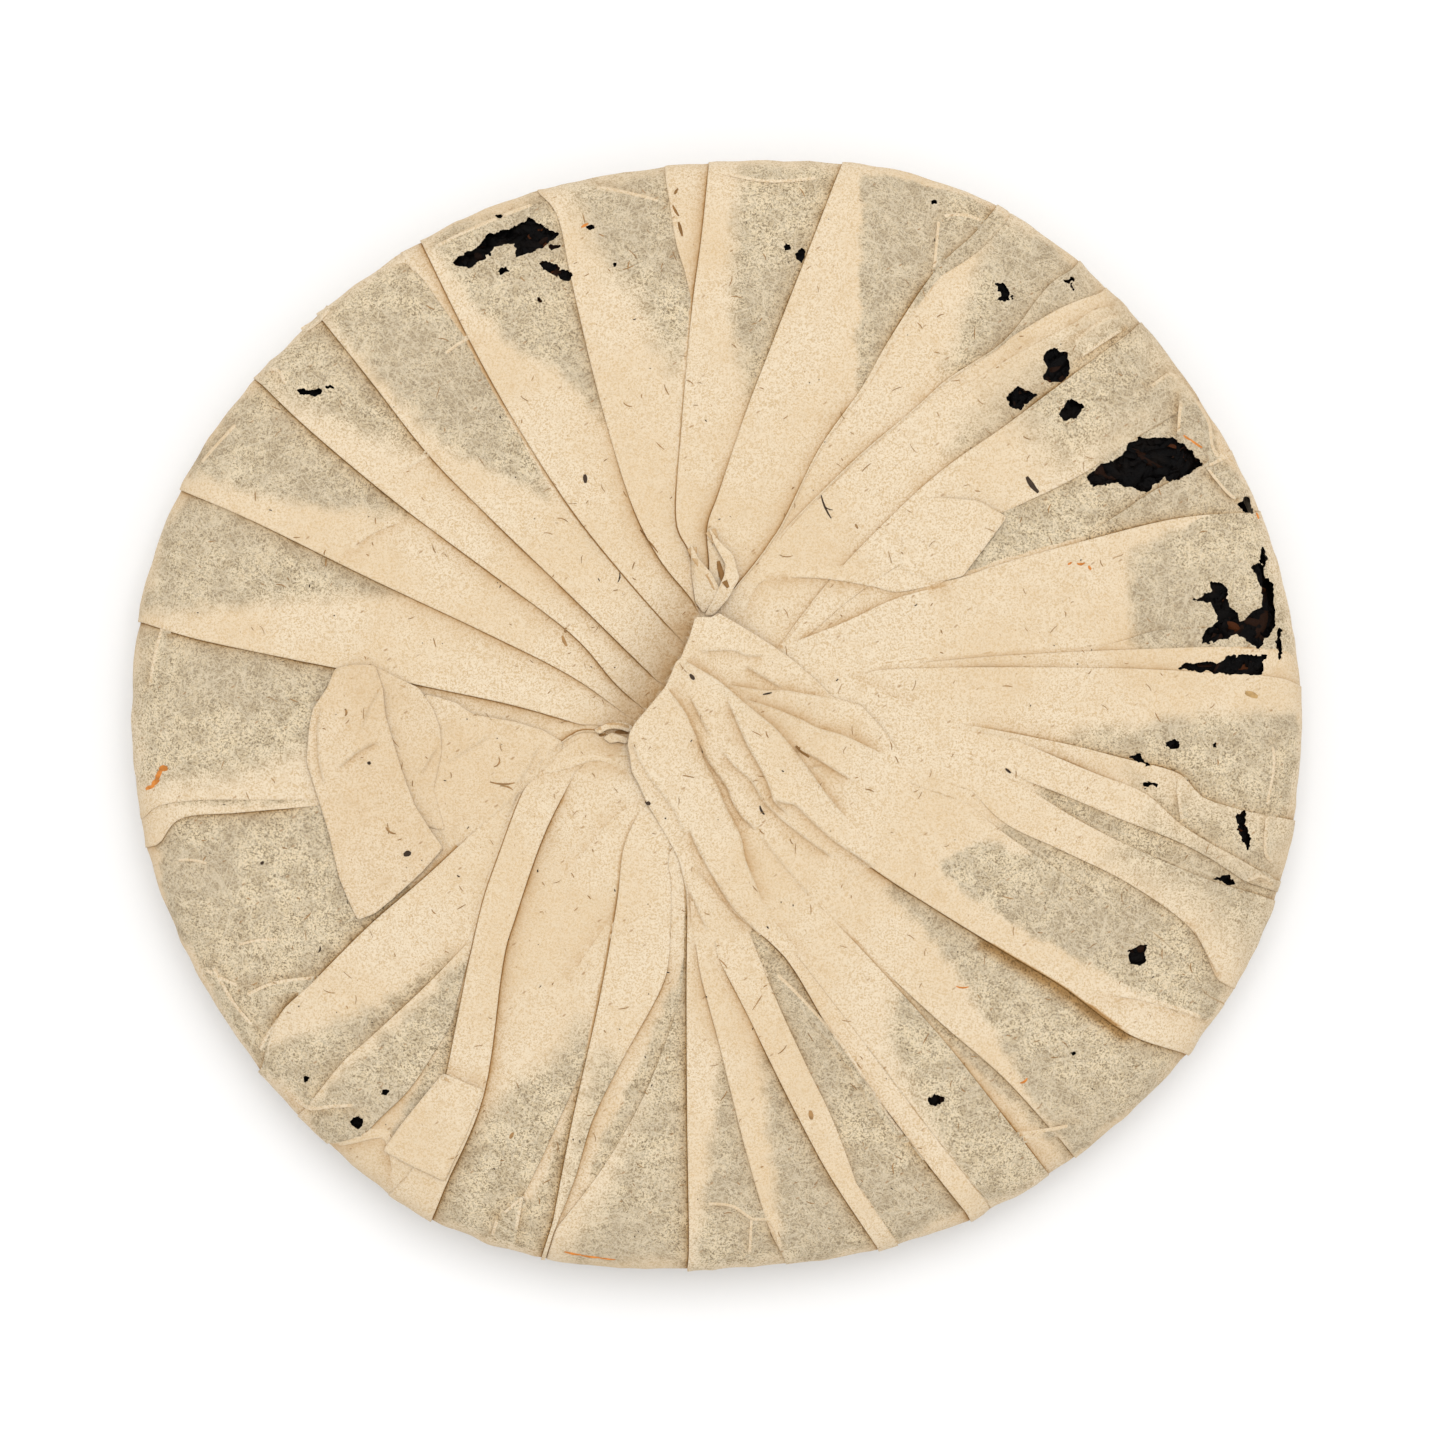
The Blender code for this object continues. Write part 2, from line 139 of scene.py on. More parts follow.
# Step of the folds that open into deep gaps beside the twist.
HUB_STEPS = {
    "f5": 2.6, "f6": 2.0, "f7": 1.3, "f4": 1.3, "f3": 1.2, "f2": 1.2, "f27": 1.6, "f8": 0.9,
    "f16": 0.3, "f21": 0.5, "f23": 0.6, "f30": 0.5,
}
HUB_STEP_RADII = (24.0, 44.0)
RIM_FOLD_RADIUS = 90.0      # a fold drawn from beyond this runs on over the rim
FOLD_FADE = 8.0
STEP_SHARE = 0.75            # how tightly the folds are pressed
COLUMN_STEP = 1.5           # spacing of the skin's points round the cake
ROW_STEP = 1.3              # and along the meridian
HUB_ROW_STEP = 0.85         # and along it near the hub
HUB_REACH = 42.0            # the hub's closer rows end here
HUB_HOLE = 5.0              # the skin is open inside this, beneath the twist
TUCK = 2.0                  # how far a panel runs on under its neighbour
HEM = 1.8                   # how far a free edge is turned under
LIFT_SPREAD = 7.0           # a raised panel sinks back over this distance
# Crumples: height everywhere, further height at the rim, the radius from which and the
# distance over which that grows, size, and the noise's seed.
CRUMPLES = (
    (0.07, 0.32, 70.0, 24.0, 9.0, 21.0), (0.03, 0.18, 70.0, 24.0, 4.5, 27.0),
    (0.0, 0.22, 84.0, 9.0, 6.0, 44.0), (0.0, 0.10, 82.0, 10.0, 2.8, 71.0),
)
COVERED = -12.0             # a veil's value where nothing shows through
PLAIN_HAZE = 2.0

# --- Where a panel is one sheet thick, the dark tea shows through and greys it. Each
# line is the edge of the layer hidden beneath, from the rim inwards. Panel's first fold:
# side of the line that is grey, distance over which the grey fades, radius inside which
# the panel is all covered, and the line -----------------------------------------------
VEILS = {
    "f1": (LEFT, 2, 46, ((-104, 18), (-95, 18), (-80, 19.5), (-52, 21.5))),
    "f2": (LEFT, 1.6, 50, ((-97, 43.5), (-80, 38.5), (-70, 36), (-49, 34))),
    "f3": (LEFT, 3, 56, ((-84, 57), (-77, 56), (-70, 53), (-62, 49), (-48, 44.5))),
    "f4b": (LEFT, 1.6, 36, ((-74, 75), (-66, 67), (-57, 57), (-47, 46.5), (-40, 43), (-32, 39),
        (-22, 34))),
    "f5": (LEFT, 1.6, 48, ((-52, 86), (-48, 80), (-43, 72), (-34, 63), (-28, 60), (-18, 50))),
    "f6b": (LEFT, 3.5, 58, ((-26, 93), (-24, 88), (-19, 77), (-14, 73), (-11, 66), (-3, 52))),
    "f7": (LEFT, 2, 50, ((5, 98), (4, 93), (2.5, 75), (3, 66), (6, 52))),
    "f8": (LEFT, 0.7, 50, ((25.3, 98), (25, 90), (24.3, 52))),
    "f8b": (LEFT, 1, 66, ((40, 92), (36.5, 80), (34, 70.5), (29, 61))),
    "f9": (LEFT, 2, 64, ((50, 92), (47, 83), (45, 76), (43, 70), (39, 57))),
    "f10": (LEFT, 3, 78, ((60, 82), (56, 74), (50, 66.5), (42, 58))),
    "f12": (LEFT, 6, 62, ((74, 73), (64, 66), (56, 61), (44, 50))),
    "f13": (RIGHT, 6, 74, ((84, 54), (78, 50), (70, 48), (60, 44))),
    "f14b": (RIGHT, 1, 45, ((100, 34), (75, 29), (50, 20), (40, 16))),
    "f14": (RIGHT, 1, 70, ((100, 34), (75, 29), (50, 20), (40, 16))),
    "f15b": (LEFT, 1.6, 60, ((80, 32), (72, 28), (71.5, 20), (73, 12))),
    "f15": (LEFT, 2, 60, ((73, 22), (72, 15), (73, 9))),
    "f17": (LEFT, 2, 60, ((100, 0.5), (85, 0), (77, -1), (72, -3), (66, -2), (58, -6))),
    "f18": (LEFT, 5, 74, ((101, -19.5), (88, -16.5), (74, -12.5), (60, -6.5))),
    "f19u": (LEFT, 5, 78, ((98, -28.5), (84, -22), (70, -15), (58, -12))),
    "f20": (RIGHT, 6, 74, ((98, -44), (84, -33), (70, -24.5), (58, -16))),
    "f19": (LEFT, 2, 57, ((120, -20), (50, 10))),
    "f20l": (LEFT, 2, 53, ((120, -30), (46, 0))),
    "f21": (RIGHT, 0.8, 46, ((92, -56), (75, -49), (60, -41), (50, -35), (42, -30), (38, -26),
        (45, -22), (54, -24))),
    "f22r": (RIGHT, 1.3, 42, ((62, -76), (54, -66), (50, -58), (45, -50), (40, -42), (35, -36),
        (28, -29))),
    "f22l": (RIGHT, 1, 56, ((62, -78), (50, -66), (38, -54.5), (31, -46))),
    "f24": (RIGHT, 2, 56, ((46, -90), (40, -75), (34, -64), (30, -56), (31, -48))),
    "f25r": (RIGHT, 1.5, 36, ((26, -94), (22, -78), (15, -64), (10, -53), (6, -42))),
    "f26": (RIGHT, 1.5, 50, ((12, -98), (10.5, -85), (9, -70), (8, -58), (9, -50))),
    "f27": (RIGHT, 1.5, 50, ((-4, -99), (-3, -86), (-1.5, -80), (0, -68), (0.5, -58), (2, -48))),
    "f28b": (RIGHT, 3, 33, ((-26, -94), (-18, -80), (-13, -66), (-9, -50), (-8, -36))),
    "f28": (RIGHT, 0.8, 34, ((-27, -94), (-20, -74), (-12, -58), (-8, -48))),
    "f30": (RIGHT, 3, 62, ((-28, -94), (-25.5, -80), (-22.5, -66), (-18.5, -54))),
    "f31": (RIGHT, 0.8, 62, ((-34, -90), (-29, -78), (-25.5, -68), (-23, -58))),
    "f33": (RIGHT, 2.5, 56, ((-50, -76), (-38, -68), (-35, -64), (-28, -60), (-24, -53),
        (-16, -50))),
    "f35": (RIGHT, 0.8, 62, ((-44, -84), (-56.5, -74.5), (-54, -68), (-48, -57), (-43, -46))),
    "f36": (RIGHT, 1.5, 60, ((-74, -72), (-62, -59.5), (-51, -50), (-44, -42))),
    "f37": (RIGHT, 1.5, 62, ((-86, -62), (-75, -57), (-65, -53), (-58, -50), (-48, -43),
        (-38, -34))),
    "f38": (RIGHT, 1, 60, ((-104, -19), (-96, -17.5), (-70, -14), (-40, -8))),
    "f38u": (LEFT, 1, 70, ((-103, -16), (-88, -15.5), (-70, -15))),
    "f39": (LEFT, 3, 62, ((-103, -11.5), (-87, -11), (-80, -9.5), (-72, -6), (-60, -4))),
}

# --- Fine creases: side that stands higher, step, breadth of the raised side, how much painted
# shade lies on the low side, and the crease's line -------------------------------------
CREASES = (
    # Right and upper right of the twist.
    (RIGHT, 0.15, 2, 0.3, ((10, 11.3), (13.3, 14.2), (16.7, 19.2), (18.8, 21.7))),
    (RIGHT, 0.4, 4, 1, ((10, 11.3), (21.7, 15.8), (30.8, 20), (39.2, 22.3))),
    (LEFT, 0.3, 3, 0.8, ((9.5, 23.8), (18.3, 23.6), (26.7, 22.3), (31.5, 21.3), (39.2, 22.9))),
    (LEFT, 0.2, 2, 0.4, ((4.2, 16.7), (7, 22.3), (9.5, 23.8))),
    (RIGHT, 0.15, 2, 0.4, ((24.2, 6.3), (33.3, 1.7))),
    (LEFT, 0.2, 2, 0.4, ((69.3, 72), (62.7, 68.3), (55.3, 64.3), (47, 59.5), (40, 55))),
    (RIGHT, 0.3, 2, 1, ((71.3, 67.3), (66.5, 64.1), (62.8, 61.6))),
    (LEFT, 0.4, 2, 1, ((80.7, 55.3), (80.3, 52.7), (80, 48.3))),
    (RIGHT, 0.25, 2, 0.5, ((74.7, 56.7), (77.3, 58.7), (79.3, 59.7), (81.5, 58.3))),
    (RIGHT, 0.3, 2, 0.5, ((81.7, 58), (86, 52), (86.7, 46.7), (89.3, 43.7))),
    (LEFT, 0.35, 2, 1, ((84.7, 43.3), (86.7, 40.7), (89.3, 38), (91, 37.3))),
    (LEFT, 0.2, 1.5, 0.4, ((85.3, 43), (89.7, 45))),
    # Right rim.
    (LEFT, 0.3, 2, 0.7, ((80.1, -10.4), (79.7, -13.1), (80.5, -18.7))),
    (LEFT, 0.3, 2, 0.4, ((95.5, -16.6), (95.2, -23.9), (97.4, -26.4))),
    (RIGHT, 0.25, 2, 0.3, ((96.5, -3.9), (97.2, -8.5), (95.7, -16.6))),
    (LEFT, 0.2, 2.5, 0.4, ((66.2, -48.4), (73.2, -49.4), (80.9, -51.7), (86, -53.6))),
    (LEFT, 0.35, 2, 0.7, ((82.4, -36.3), (84.4, -40.1), (87.4, -45.5))),
    (LEFT, 0.25, 1.5, 0.6, ((91.7, -29.3), (94.8, -28.3), (96.6, -29.5))),
    (RIGHT, 0.25, 2, 0.5, ((52, -72.5), (56, -72), (62, -71))),
    # No step: only a band of painted shade on the low side of fold f21.
    (LEFT, 0, 2.2, 1.35, ((47, -39.2), (50, -41), (60, -47), (71, -55))),
    (LEFT, 0.25, 1.8, 0.5, ((69.6, 71.2), (65.3, 70.2), (59.3, 65.7))),
    (LEFT, 0.2, 1.8, 0.4, ((70.6, 69.8), (66.7, 68.6), (61.3, 64.3))),
    # Below the twist and along the lower rim.
    (LEFT, 0.25, 2, 0.4, ((-2.9, -84.9), (2.5, -85.4), (6, -87.6), (9.5, -88.5), (11.3, -94.5))),
    (LEFT, 0.25, 1.5, 0.5, ((5.9, -86.7), (5.5, -94.5))),
    (LEFT, 0.2, 2, 0.5, ((-18.4, -35.3), (-22, -40.5), (-25, -45))),
    (RIGHT, 0.2, 2, 0.4, ((7.3, -41.8), (14, -48), (21.9, -57), (29.9, -69.2), (36, -77))),
    (RIGHT, 0.15, 2, 0.3, ((9.2, -34.6), (15, -42))),
    # Lower left.
    (RIGHT, 0.3, 3, 0.6, ((-82.5, -48.8), (-76.7, -46.3), (-68.8, -45.2))),
    (LEFT, 0.3, 2, 0.5, ((-75.8, -52), (-79, -56.7), (-80, -59))),
    (LEFT, 0.3, 2.5, 0.7, ((-74.2, -66.9), (-70.8, -68.8), (-66.7, -68.3), (-61.7, -67.9))),
    (LEFT, 0.4, 2, 0.8, ((-67, -75.4), (-63.3, -74.6), (-58.3, -73.5), (-57, -75.8),
        (-56.3, -80.7))),
    (RIGHT, 0.35, 2, 0.7, ((-38.3, -87.5), (-33.6, -83.5), (-33.8, -85), (-35, -91.5))),
    (LEFT, 0.25, 2, 0.5, ((-38.3, -87.5), (-39.4, -91))),
    (RIGHT, 0.25, 2, 0.4, ((-88, -42.6), (-84, -49.8), (-79.6, -55))),
    (RIGHT, 0.25, 1.5, 0.8, ((-46.6, -61.9), (-43.3, -63.8), (-40.5, -64.8))),
    (LEFT, 0.15, 1.5, 0.6, ((-31.7, -10.4), (-26.7, -9.6), (-20.8, -7.9), (-16, -9.6))),
    (LEFT, 0.15, 2, 0.4, ((-12.5, -15), (-17.5, -17.5), (-23.3, -24.2), (-25.8, -26.7))),
    # Left and upper left.
    (LEFT, 0.15, 1.5, 0.6, ((-63.7, 28.4), (-59.2, 31.5), (-54, 33.6))),
    (LEFT, 0.25, 2, 0.5, ((-78.6, 60), (-76.4, 59.7), (-75, 57))),
    (LEFT, 0.25, 1.5, 0.5, ((-72.2, 66.6), (-69, 68.7), (-67.2, 71))),
    (LEFT, 0.2, 1.5, 0.4, ((-56.5, 78.6), (-54, 78.6), (-52.6, 77))),
    (LEFT, 0.18, 1.5, 0.4, ((-47.2, 62.2), (-44.9, 63.9), (-42.4, 65.4))),
    (LEFT, 0.15, 1.2, 0.4, ((-54.4, 42.2), (-51.7, 43.7), (-49.3, 45))),
    (RIGHT, 0.3, 2, 0.4, ((-90.6, 43.5), (-87.5, 47), (-83.3, 51.4))),
    (LEFT, 0.3, 2, 0.4, ((-96.5, 15.7), (-98, 10.2), (-99, 4))),
    (RIGHT, 0.2, 1.2, 0.1, ((-84, -40), (-79.5, -38.9), (-75, -38.8))),
    (RIGHT, 0.22, 1.5, 0.4, ((-89.4, -44), (-85.7, -45.8), (-82.3, -47.2))),
    (LEFT, 0.2, 1.2, 0.2, ((-94.5, -25.6), (-91.2, -25.4), (-87.6, -26.2))),
    (RIGHT, 0.25, 2.5, 0.4, ((-22.2, 92.6), (-14.2, 90.8), (-8.4, 89.1))),
    (RIGHT, 0.3, 2, 0.4, ((-50.6, 81), (-39.4, 86.4), (-30.4, 89.8))),
    (LEFT, 0.2, 2, 0.4, ((38.5, 86.8), (37.4, 76.5))),
    (LEFT, 0.25, 2, 0.3, ((-1, 94.6), (8.8, 92.6), (19, 93.4))),
    (RIGHT, 0.25, 2, 0.3, ((38.5, 86.8), (43, 87.2), (47, 86))),
)

# --- Tears: ragged outlines ----------------------------------------------------------
TEAR_BORDER = 5.0           # the skin this near a tear is worked apart from the rest
TEAR_MARGIN = 1.6           # and this near it, it is finely divided
TEAR_LOWEST = 9.0           # no skin below this height belongs to a tear
TEARS = (
    ((-46.3, 78.2), (-45, 79.5), (-41, 81.5), (-40, 83.5), (-36, 84.5), (-32.5, 86.5), (-29, 84.3),
        (-27, 83.5), (-31.5, 80.3), (-34.8, 79.4), (-35, 82), (-38.5, 81.3), (-39, 80),
        (-43, 77.5)),
    ((-30.8, 78.3), (-29.5, 78.9), (-25.3, 76.5), (-25.3, 75), (-27, 75.3), (-30, 77.3)),
    ((50.2, 75), (50.8, 72.3), (49.8, 71.7), (48.8, 72), (49.3, 73.3), (48, 75)),
    ((60, 75.7), (62, 76), (61.7, 74.8), (62, 74), (61, 74.6)),
    ((56.3, 62), (57, 63), (59, 63.5), (60.7, 62.8), (61.2, 61), (61, 59), (60, 57.9), (57.5, 57.6),
        (56.3, 58.7), (57.3, 60.2)),
    ((50, 55.2), (52, 56.7), (53.5, 56.3), (55.8, 55.6), (54.5, 54.5), (52.5, 52.8), (51, 53.3)),
    ((58.8, 52.3), (60.3, 53.5), (61.5, 55), (63.7, 53.7), (63, 52.3), (62, 51.2), (60, 51)),
    ((64, 41.2), (66, 43), (70, 45), (71.5, 47), (73.5, 48), (79, 48.2), (82.5, 46), (84.5, 43.5),
        (80.5, 40.8), (78.5, 40.3), (77.5, 41), (74.3, 38.6), (68.5, 40.2), (65.3, 39.4)),
    ((90.6, 36.8), (91.6, 37.1), (92.2, 38.8), (93.3, 37.2), (93.8, 35), (91.6, 35.5)),
    ((81, 20.3), (83, 20), (86, 21.5), (85.5, 23.2), (88, 22.8), (89.3, 19), (91, 16.3),
        (94.5, 18.8), (95, 22.3), (93, 25.5), (94, 26.7), (95.3, 26), (95.5, 24), (97, 22.7),
        (97.5, 15.5), (95, 12.5), (94.3, 11), (91.5, 13.3), (89.5, 14), (88, 13), (84, 12.2),
        (84.3, 14), (87, 16.3), (85.5, 19.5)),
    ((80.2, 8), (81, 9), (87.2, 9.2), (88.5, 10), (92, 10.6), (95.5, 10.2), (94.5, 6.8), (85, 7.3)),
    ((71, -7.5), (72, -6.8), (73.5, -6.8), (74.8, -8.6), (72.5, -8)),
    ((90.2, -17), (91.5, -16.8), (92, -19), (92.7, -21.5), (92.3, -23.5), (91.3, -22),
        (90.5, -19.5)),
    ((86.5, -28.5), (88, -27.5), (89, -28), (91, -29.8), (88, -29.2)),
)
# Small round tears: centre, width and height.
PINHOLES = (
    (-37, 77, 2, 1.3), (-28, 81.2, 2, 0.8), (-38, 87, 1.5, 1), (-30.7, 71.8, 0.7, 0.7),
    (-70.5, 56, 4.5, 1.3), (-67, 56.8, 1.6, 1), (-22, 84.6, 1.6, 0.6), (-17.5, 78, 0.8, 0.8),
    (14.5, 79.7, 2.2, 1.8), (12.3, 81, 1.5, 1.2), (51.3, 72.2, 0.8, 0.8), (79, -5.2, 2.2, 2),
    (86.5, -4.9, 1, 1), (75, -12, 3.2, 0.8), (73, -41.5, 3.4, 3.6), (61.7, -58.5, 1, 0.7),
    (38, -66.8, 2.8, 2), (-71.5, -63, 1, 1.8), (-62.5, -70.8, 2.4, 2.2), (-57.5, -65.6, 1.2, 0.9),
    (98, 12.4, 1, 6), (95.4, 27.4, 1.2, 4), (37.7, 89.5, 0.8, 0.7),
)

# --- Twisted gather: the edge under which the left and top pleats dive ------------------
SLIT = (
    (-3.6, 16.9), (-4.6, 13.5), (-5.3, 11.9), (-6.1, 9.8), (-7, 9.1), (-7.8, 7), (-8.8, 4.8),
    (-10.3, 3), (-12, 0.9), (-14, -1.4), (-15, -3.2),
)
SLIT_DEPTH = 3.8
SLIT_SPREAD = 8.0


# --- Plain geometry ------------------------------------------------------------------
def outline_radius(bearing):
    """Radius of the outline on a bearing in degrees, for a number or an array."""
    total = MEAN_RADIUS
    for count, height, crest in OUTLINE_WAVES:
        total = total + height * np.cos(np.radians(count * (bearing - crest)))
    return total


def smoothstep(value):
    value = np.clip(value, 0.0, 1.0)
    return value * value * (3.0 - 2.0 * value)


def catmull(points, steps):
    """Points along a smooth curve through the given ones."""
    knots = [np.array(p, dtype=float) for p in points]
    knots = [2 * knots[0] - knots[1]] + knots + [2 * knots[-1] - knots[-2]]
    out = []
    for a, b, c, d in zip(knots, knots[1:], knots[2:], knots[3:]):
        for k in range(steps):
            t = k / steps
            out.append(0.5 * (2 * b + (c - a) * t + (2 * a - 5 * b + 4 * c - d) * t * t
                              + (3 * b - a - 3 * c + d) * t ** 3))
    out.append(knots[-2])
    return np.array(out)


def lengths_along(line):
    """Length from a line's start to each of its points."""
    return np.concatenate(([0.0], np.cumsum(np.hypot(*np.diff(line, axis=0).T))))


MERIDIAN_CURVE = catmull(MERIDIAN, 24)
MERIDIAN_LENGTH = lengths_along(MERIDIAN_CURVE)


def on_meridian(length):
    """Nominal radius and height, at a length along the meridian."""
    return (np.interp(length, MERIDIAN_LENGTH, MERIDIAN_CURVE[:, 0]),
            np.interp(length, MERIDIAN_LENGTH, MERIDIAN_CURVE[:, 1]))


TOP_HALF = MERIDIAN_CURVE[: int(np.argmax(MERIDIAN_CURVE[:, 0])) + 1]


def true_radius(radius, bearing):
    """A nominal radius stretched to the outline on a bearing."""
    return radius / NOMINAL_RADIUS * outline_radius(bearing)


def plain_height(x, y):
    """Height of the top without pleats."""
    bearing = np.degrees(np.arctan2(y, x))
    radius = np.hypot(x, y) * NOMINAL_RADIUS / outline_radius(bearing)
    return np.interp(radius, TOP_HALF[:, 0], TOP_HALF[:, 1])


def line_distance(x, y, points):
    """Distance to a line of points, signed + on its left and - on its right."""
    best = np.full(np.shape(x), 1e9)
    side = np.ones(np.shape(x))
    for (x0, y0), (x1, y1) in zip(points, points[1:]):
        ux, uy = x1 - x0, y1 - y0
        t = np.clip(((x - x0) * ux + (y - y0) * uy) / (ux * ux + uy * uy), 0.0, 1.0)
        d = np.hypot(x - x0 - t * ux, y - y0 - t * uy)
        cross = ux * (y - y0) - uy * (x - x0)
        side = np.where(d < best - 1e-9, np.sign(cross), side)
        best = np.minimum(best, d)
    return best * side


def inside_distance(x, y, outline):
    """Distance to a closed outline, - inside it and + outside."""
    loop = list(outline) + [outline[0]]
    distance = np.abs(line_distance(x, y, loop))
    inside = np.zeros(np.shape(x), dtype=bool)
    for (x0, y0), (x1, y1) in zip(loop, loop[1:]):
        crosses = (y0 > y) != (y1 > y)
        if y1 != y0:
            inside ^= crosses & (x < (x1 - x0) * (y - y0) / (y1 - y0) + x0)
    return np.where(inside, -distance, distance)


def waver(x, y, size, seed=0.0):
    """Smooth noise from -1 to 1 at each point of two arrays."""
    flat = [noise.noise(Vector((a / size, b / size, seed))) for a, b in zip(np.ravel(x), np.ravel(y))]
    return np.array(flat).reshape(np.shape(x))


def box_of(outline):
    """Lowest and highest x, and lowest and highest y, of an outline."""
    xs, ys = [p[0] for p in outline], [p[1] for p in outline]
    return min(xs), max(xs), min(ys), max(ys)


def creased(x, y, size, seed):
    """Noise folded over along its zero line, which leaves sharp creases."""
    return 0.35 - np.abs(waver(x, y, size, seed)) * 1.6


def gather_relief(x, y):
    """The hollow beside the twist, into which the left and top pleats dive."""
    start, end = SLIT[0], SLIT[-1]
    ux, uy = end[0] - start[0], end[1] - start[1]
    length = math.hypot(ux, uy)
    place = ((x - start[0]) * ux + (y - start[1]) * uy) / length ** 2
    side = (ux * (y - start[1]) - uy * (x - start[0])) / length
    window = np.exp(-(((place - 0.5) / 0.62) ** 4))
    hollow = -SLIT_DEPTH * np.exp(-((side / SLIT_SPREAD) ** 2))
    return window * hollow


# --- Mesh helpers --------------------------------------------------------------------
def new_object(name, mesh, material):
    """A smooth piece of the object with its material and slot."""
    obj = bpy.data.objects.new(name, mesh)
    bpy.context.scene.collection.objects.link(obj)
    mesh.materials.append(material)
    for polygon in mesh.polygons:
        polygon.use_smooth = True
    return obj


def mesh_from(name, points, faces, attributes):
    """A mesh of points in millimetres, with a value of each attribute at every point."""
    mesh = bpy.data.meshes.new(name)
    mesh.from_pydata([tuple(p) for p in np.asarray(points) * MM], [], faces)
    for key, data in attributes.items():
        layer = mesh.attributes.new(key, "FLOAT", "POINT")
        layer.data.foreach_set("value", np.asarray(data, dtype=np.float32))
    mesh.update()
    return mesh


def add_piece(name, points, faces, attributes, material):
    return new_object(name, mesh_from(name, points, faces, attributes), material)


def band_faces(a, b, count):
    """Faces between two rows of points that start at a and b."""
    return [(a + k, a + k + 1, b + k + 1, b + k) for k in range(count - 1)]


def ribbon_faces(start, steps, across):
    """Faces of a ribbon whose points run across it, step after step."""
    return [(a, a + across, a + across + 1, a + 1) for k in range(steps - 1)
            for a in range(start + across * k, start + across * (k + 1) - 1)]


def ring_grid(columns, radii, inset=0.0):
    """x and y of points round the cake, at each radius and set in from the outline."""
    bearing = np.linspace(0.0, 360.0, columns, endpoint=False)[:, None] + 0 * radii
    radius = np.maximum(true_radius(radii, bearing) - inset, 0.5)
    return radius * np.cos(np.radians(bearing)), radius * np.sin(np.radians(bearing))


def ring_faces(columns, rows):
    """Faces between neighbouring columns of points, all the way round."""
    return [face for k in range(columns)
            for face in band_faces(k * rows, (k + 1) % columns * rows, rows)]


# --- Pleated top ---------------------------------------------------------------------
def fold_table(radii):
    """Bearing of each fold and its present step, for every ring: arrays (fold, ring)."""
    bearings, steps, inner_gone, outer_gone = [], [], [], []
    for name, _, step, points in FOLDS:
        line = catmull(points, 6)
        bearing = np.degrees(np.unwrap(np.arctan2(line[:, 1], line[:, 0])))
        radius = np.hypot(line[:, 0], line[:, 1]) * NOMINAL_RADIUS / outline_radius(bearing)
        order = np.argsort(radius)
        bearings.append(np.interp(radii, radius[order], bearing[order]))
        first, last = radius.max(), radius.min()
        fade = smoothstep((radii - last) / FOLD_FADE + 0.25)
        inner_gone.append(radii < last)
        outer_gone.append((radii > first) & (first < RIM_FOLD_RADIUS))
        if first < RIM_FOLD_RADIUS:
            fade = fade * smoothstep((first - radii) / FOLD_FADE + 0.25)
        near = 1.0 - smoothstep((radii - HUB_STEP_RADII[0]) / (HUB_STEP_RADII[1] - HUB_STEP_RADII[0]))
        steps.append(STEP_SHARE * fade * (step + near * (HUB_STEPS.get(name, step) - step)))
    bearings = np.array(bearings)
    for i in range(1, len(bearings)):
        turns = np.round((bearings[i] - bearings[i - 1] - 60.0) / 360.0)
        bearings[i] -= 360.0 * turns
    follow(bearings, np.array(inner_gone), range(len(radii) - 2, -1, -1), 1)
    follow(bearings, np.array(outer_gone), range(1, len(radii)), -1)
    return bearings, np.array(steps)


def follow(bearings, gone, rings, back):
    """Beyond its end a fold keeps its share of the way between its living neighbours."""
    count = len(bearings)
    for ring in rings:
        last = ring + back
        if gone[:, ring].sum() > count - 2:
            bearings[:, ring] = bearings[:, last]
            continue
        for i in range(count):
            if not gone[i, ring]:
                continue
            a, b = i - 1, i + 1
            while gone[a % count, ring]:
                a -= 1
            while gone[b % count, ring]:
                b += 1
            turn_a, turn_b = 360.0 * (a // count), 360.0 * (b // count)
            a, b = a % count, b % count
            span = bearings[b, last] + turn_b - bearings[a, last] - turn_a
            share = (bearings[i, last] - bearings[a, last] - turn_a) / max(span, 1e-3)
            start = bearings[a, ring] + turn_a
            bearings[i, ring] = start + min(max(share, 0.0), 1.0) * (bearings[b, ring] + turn_b - start)


def keep_apart(bearings, radii):
    """Pushes neighbouring folds apart where they meet, so that they never cross."""
    count = len(bearings)
    gap = np.degrees(0.35 / np.maximum(radii, 8.0))
    for _ in range(80):
        for i in range(count):
            j = (i + 1) % count
            turn = 360.0 if j == 0 else 0.0
            lack = np.maximum(gap - (bearings[j] + turn - bearings[i]), 0.0)
            bearings[i] -= 0.5 * lack
            bearings[j] += 0.5 * lack
    return bearings


def ripple(fold, lengths):
    """How a fold's step swells and shrinks along its length."""
    return 0.75 + 0.5 * np.array([noise.noise(Vector((r / 14.0, 3.1 * fold, 0.0))) for r in lengths])


def panel_relief(share, width, sides, steps):
    """Lift of a panel and the painted shade on it, at a share of the way across it.

    sides and steps are those of its two folds, and every value runs along the panel."""
    distances = (share * width, (1.0 - share) * width)
    lift, painted_shade_and_tint = np.zeros_like(width), np.zeros_like(width)
    for own, high, gone in ((0, CCW, share), (1, CW, 1.0 - share)):
        if sides[own] == high:
            sunk = 1.0 if sides[1 - own] == -high else 1.0 - gone ** 2
            lift = np.maximum(lift, steps[own] * np.exp(-distances[own] / LIFT_SPREAD) * sunk)
        else:
            # Painted shade on the panel's low side, in the crevice beside a fold's raised edge.
            crevice_shade = 0.9 * np.exp(-distances[own] / 1.2) + np.exp(-np.maximum(distances[own], 0.0) / 0.22)
            painted_shade_and_tint = np.maximum(painted_shade_and_tint, crevice_shade * np.clip(2.6 * steps[own] - 0.25, 0.0, 1.15))
    return lift, painted_shade_and_tint


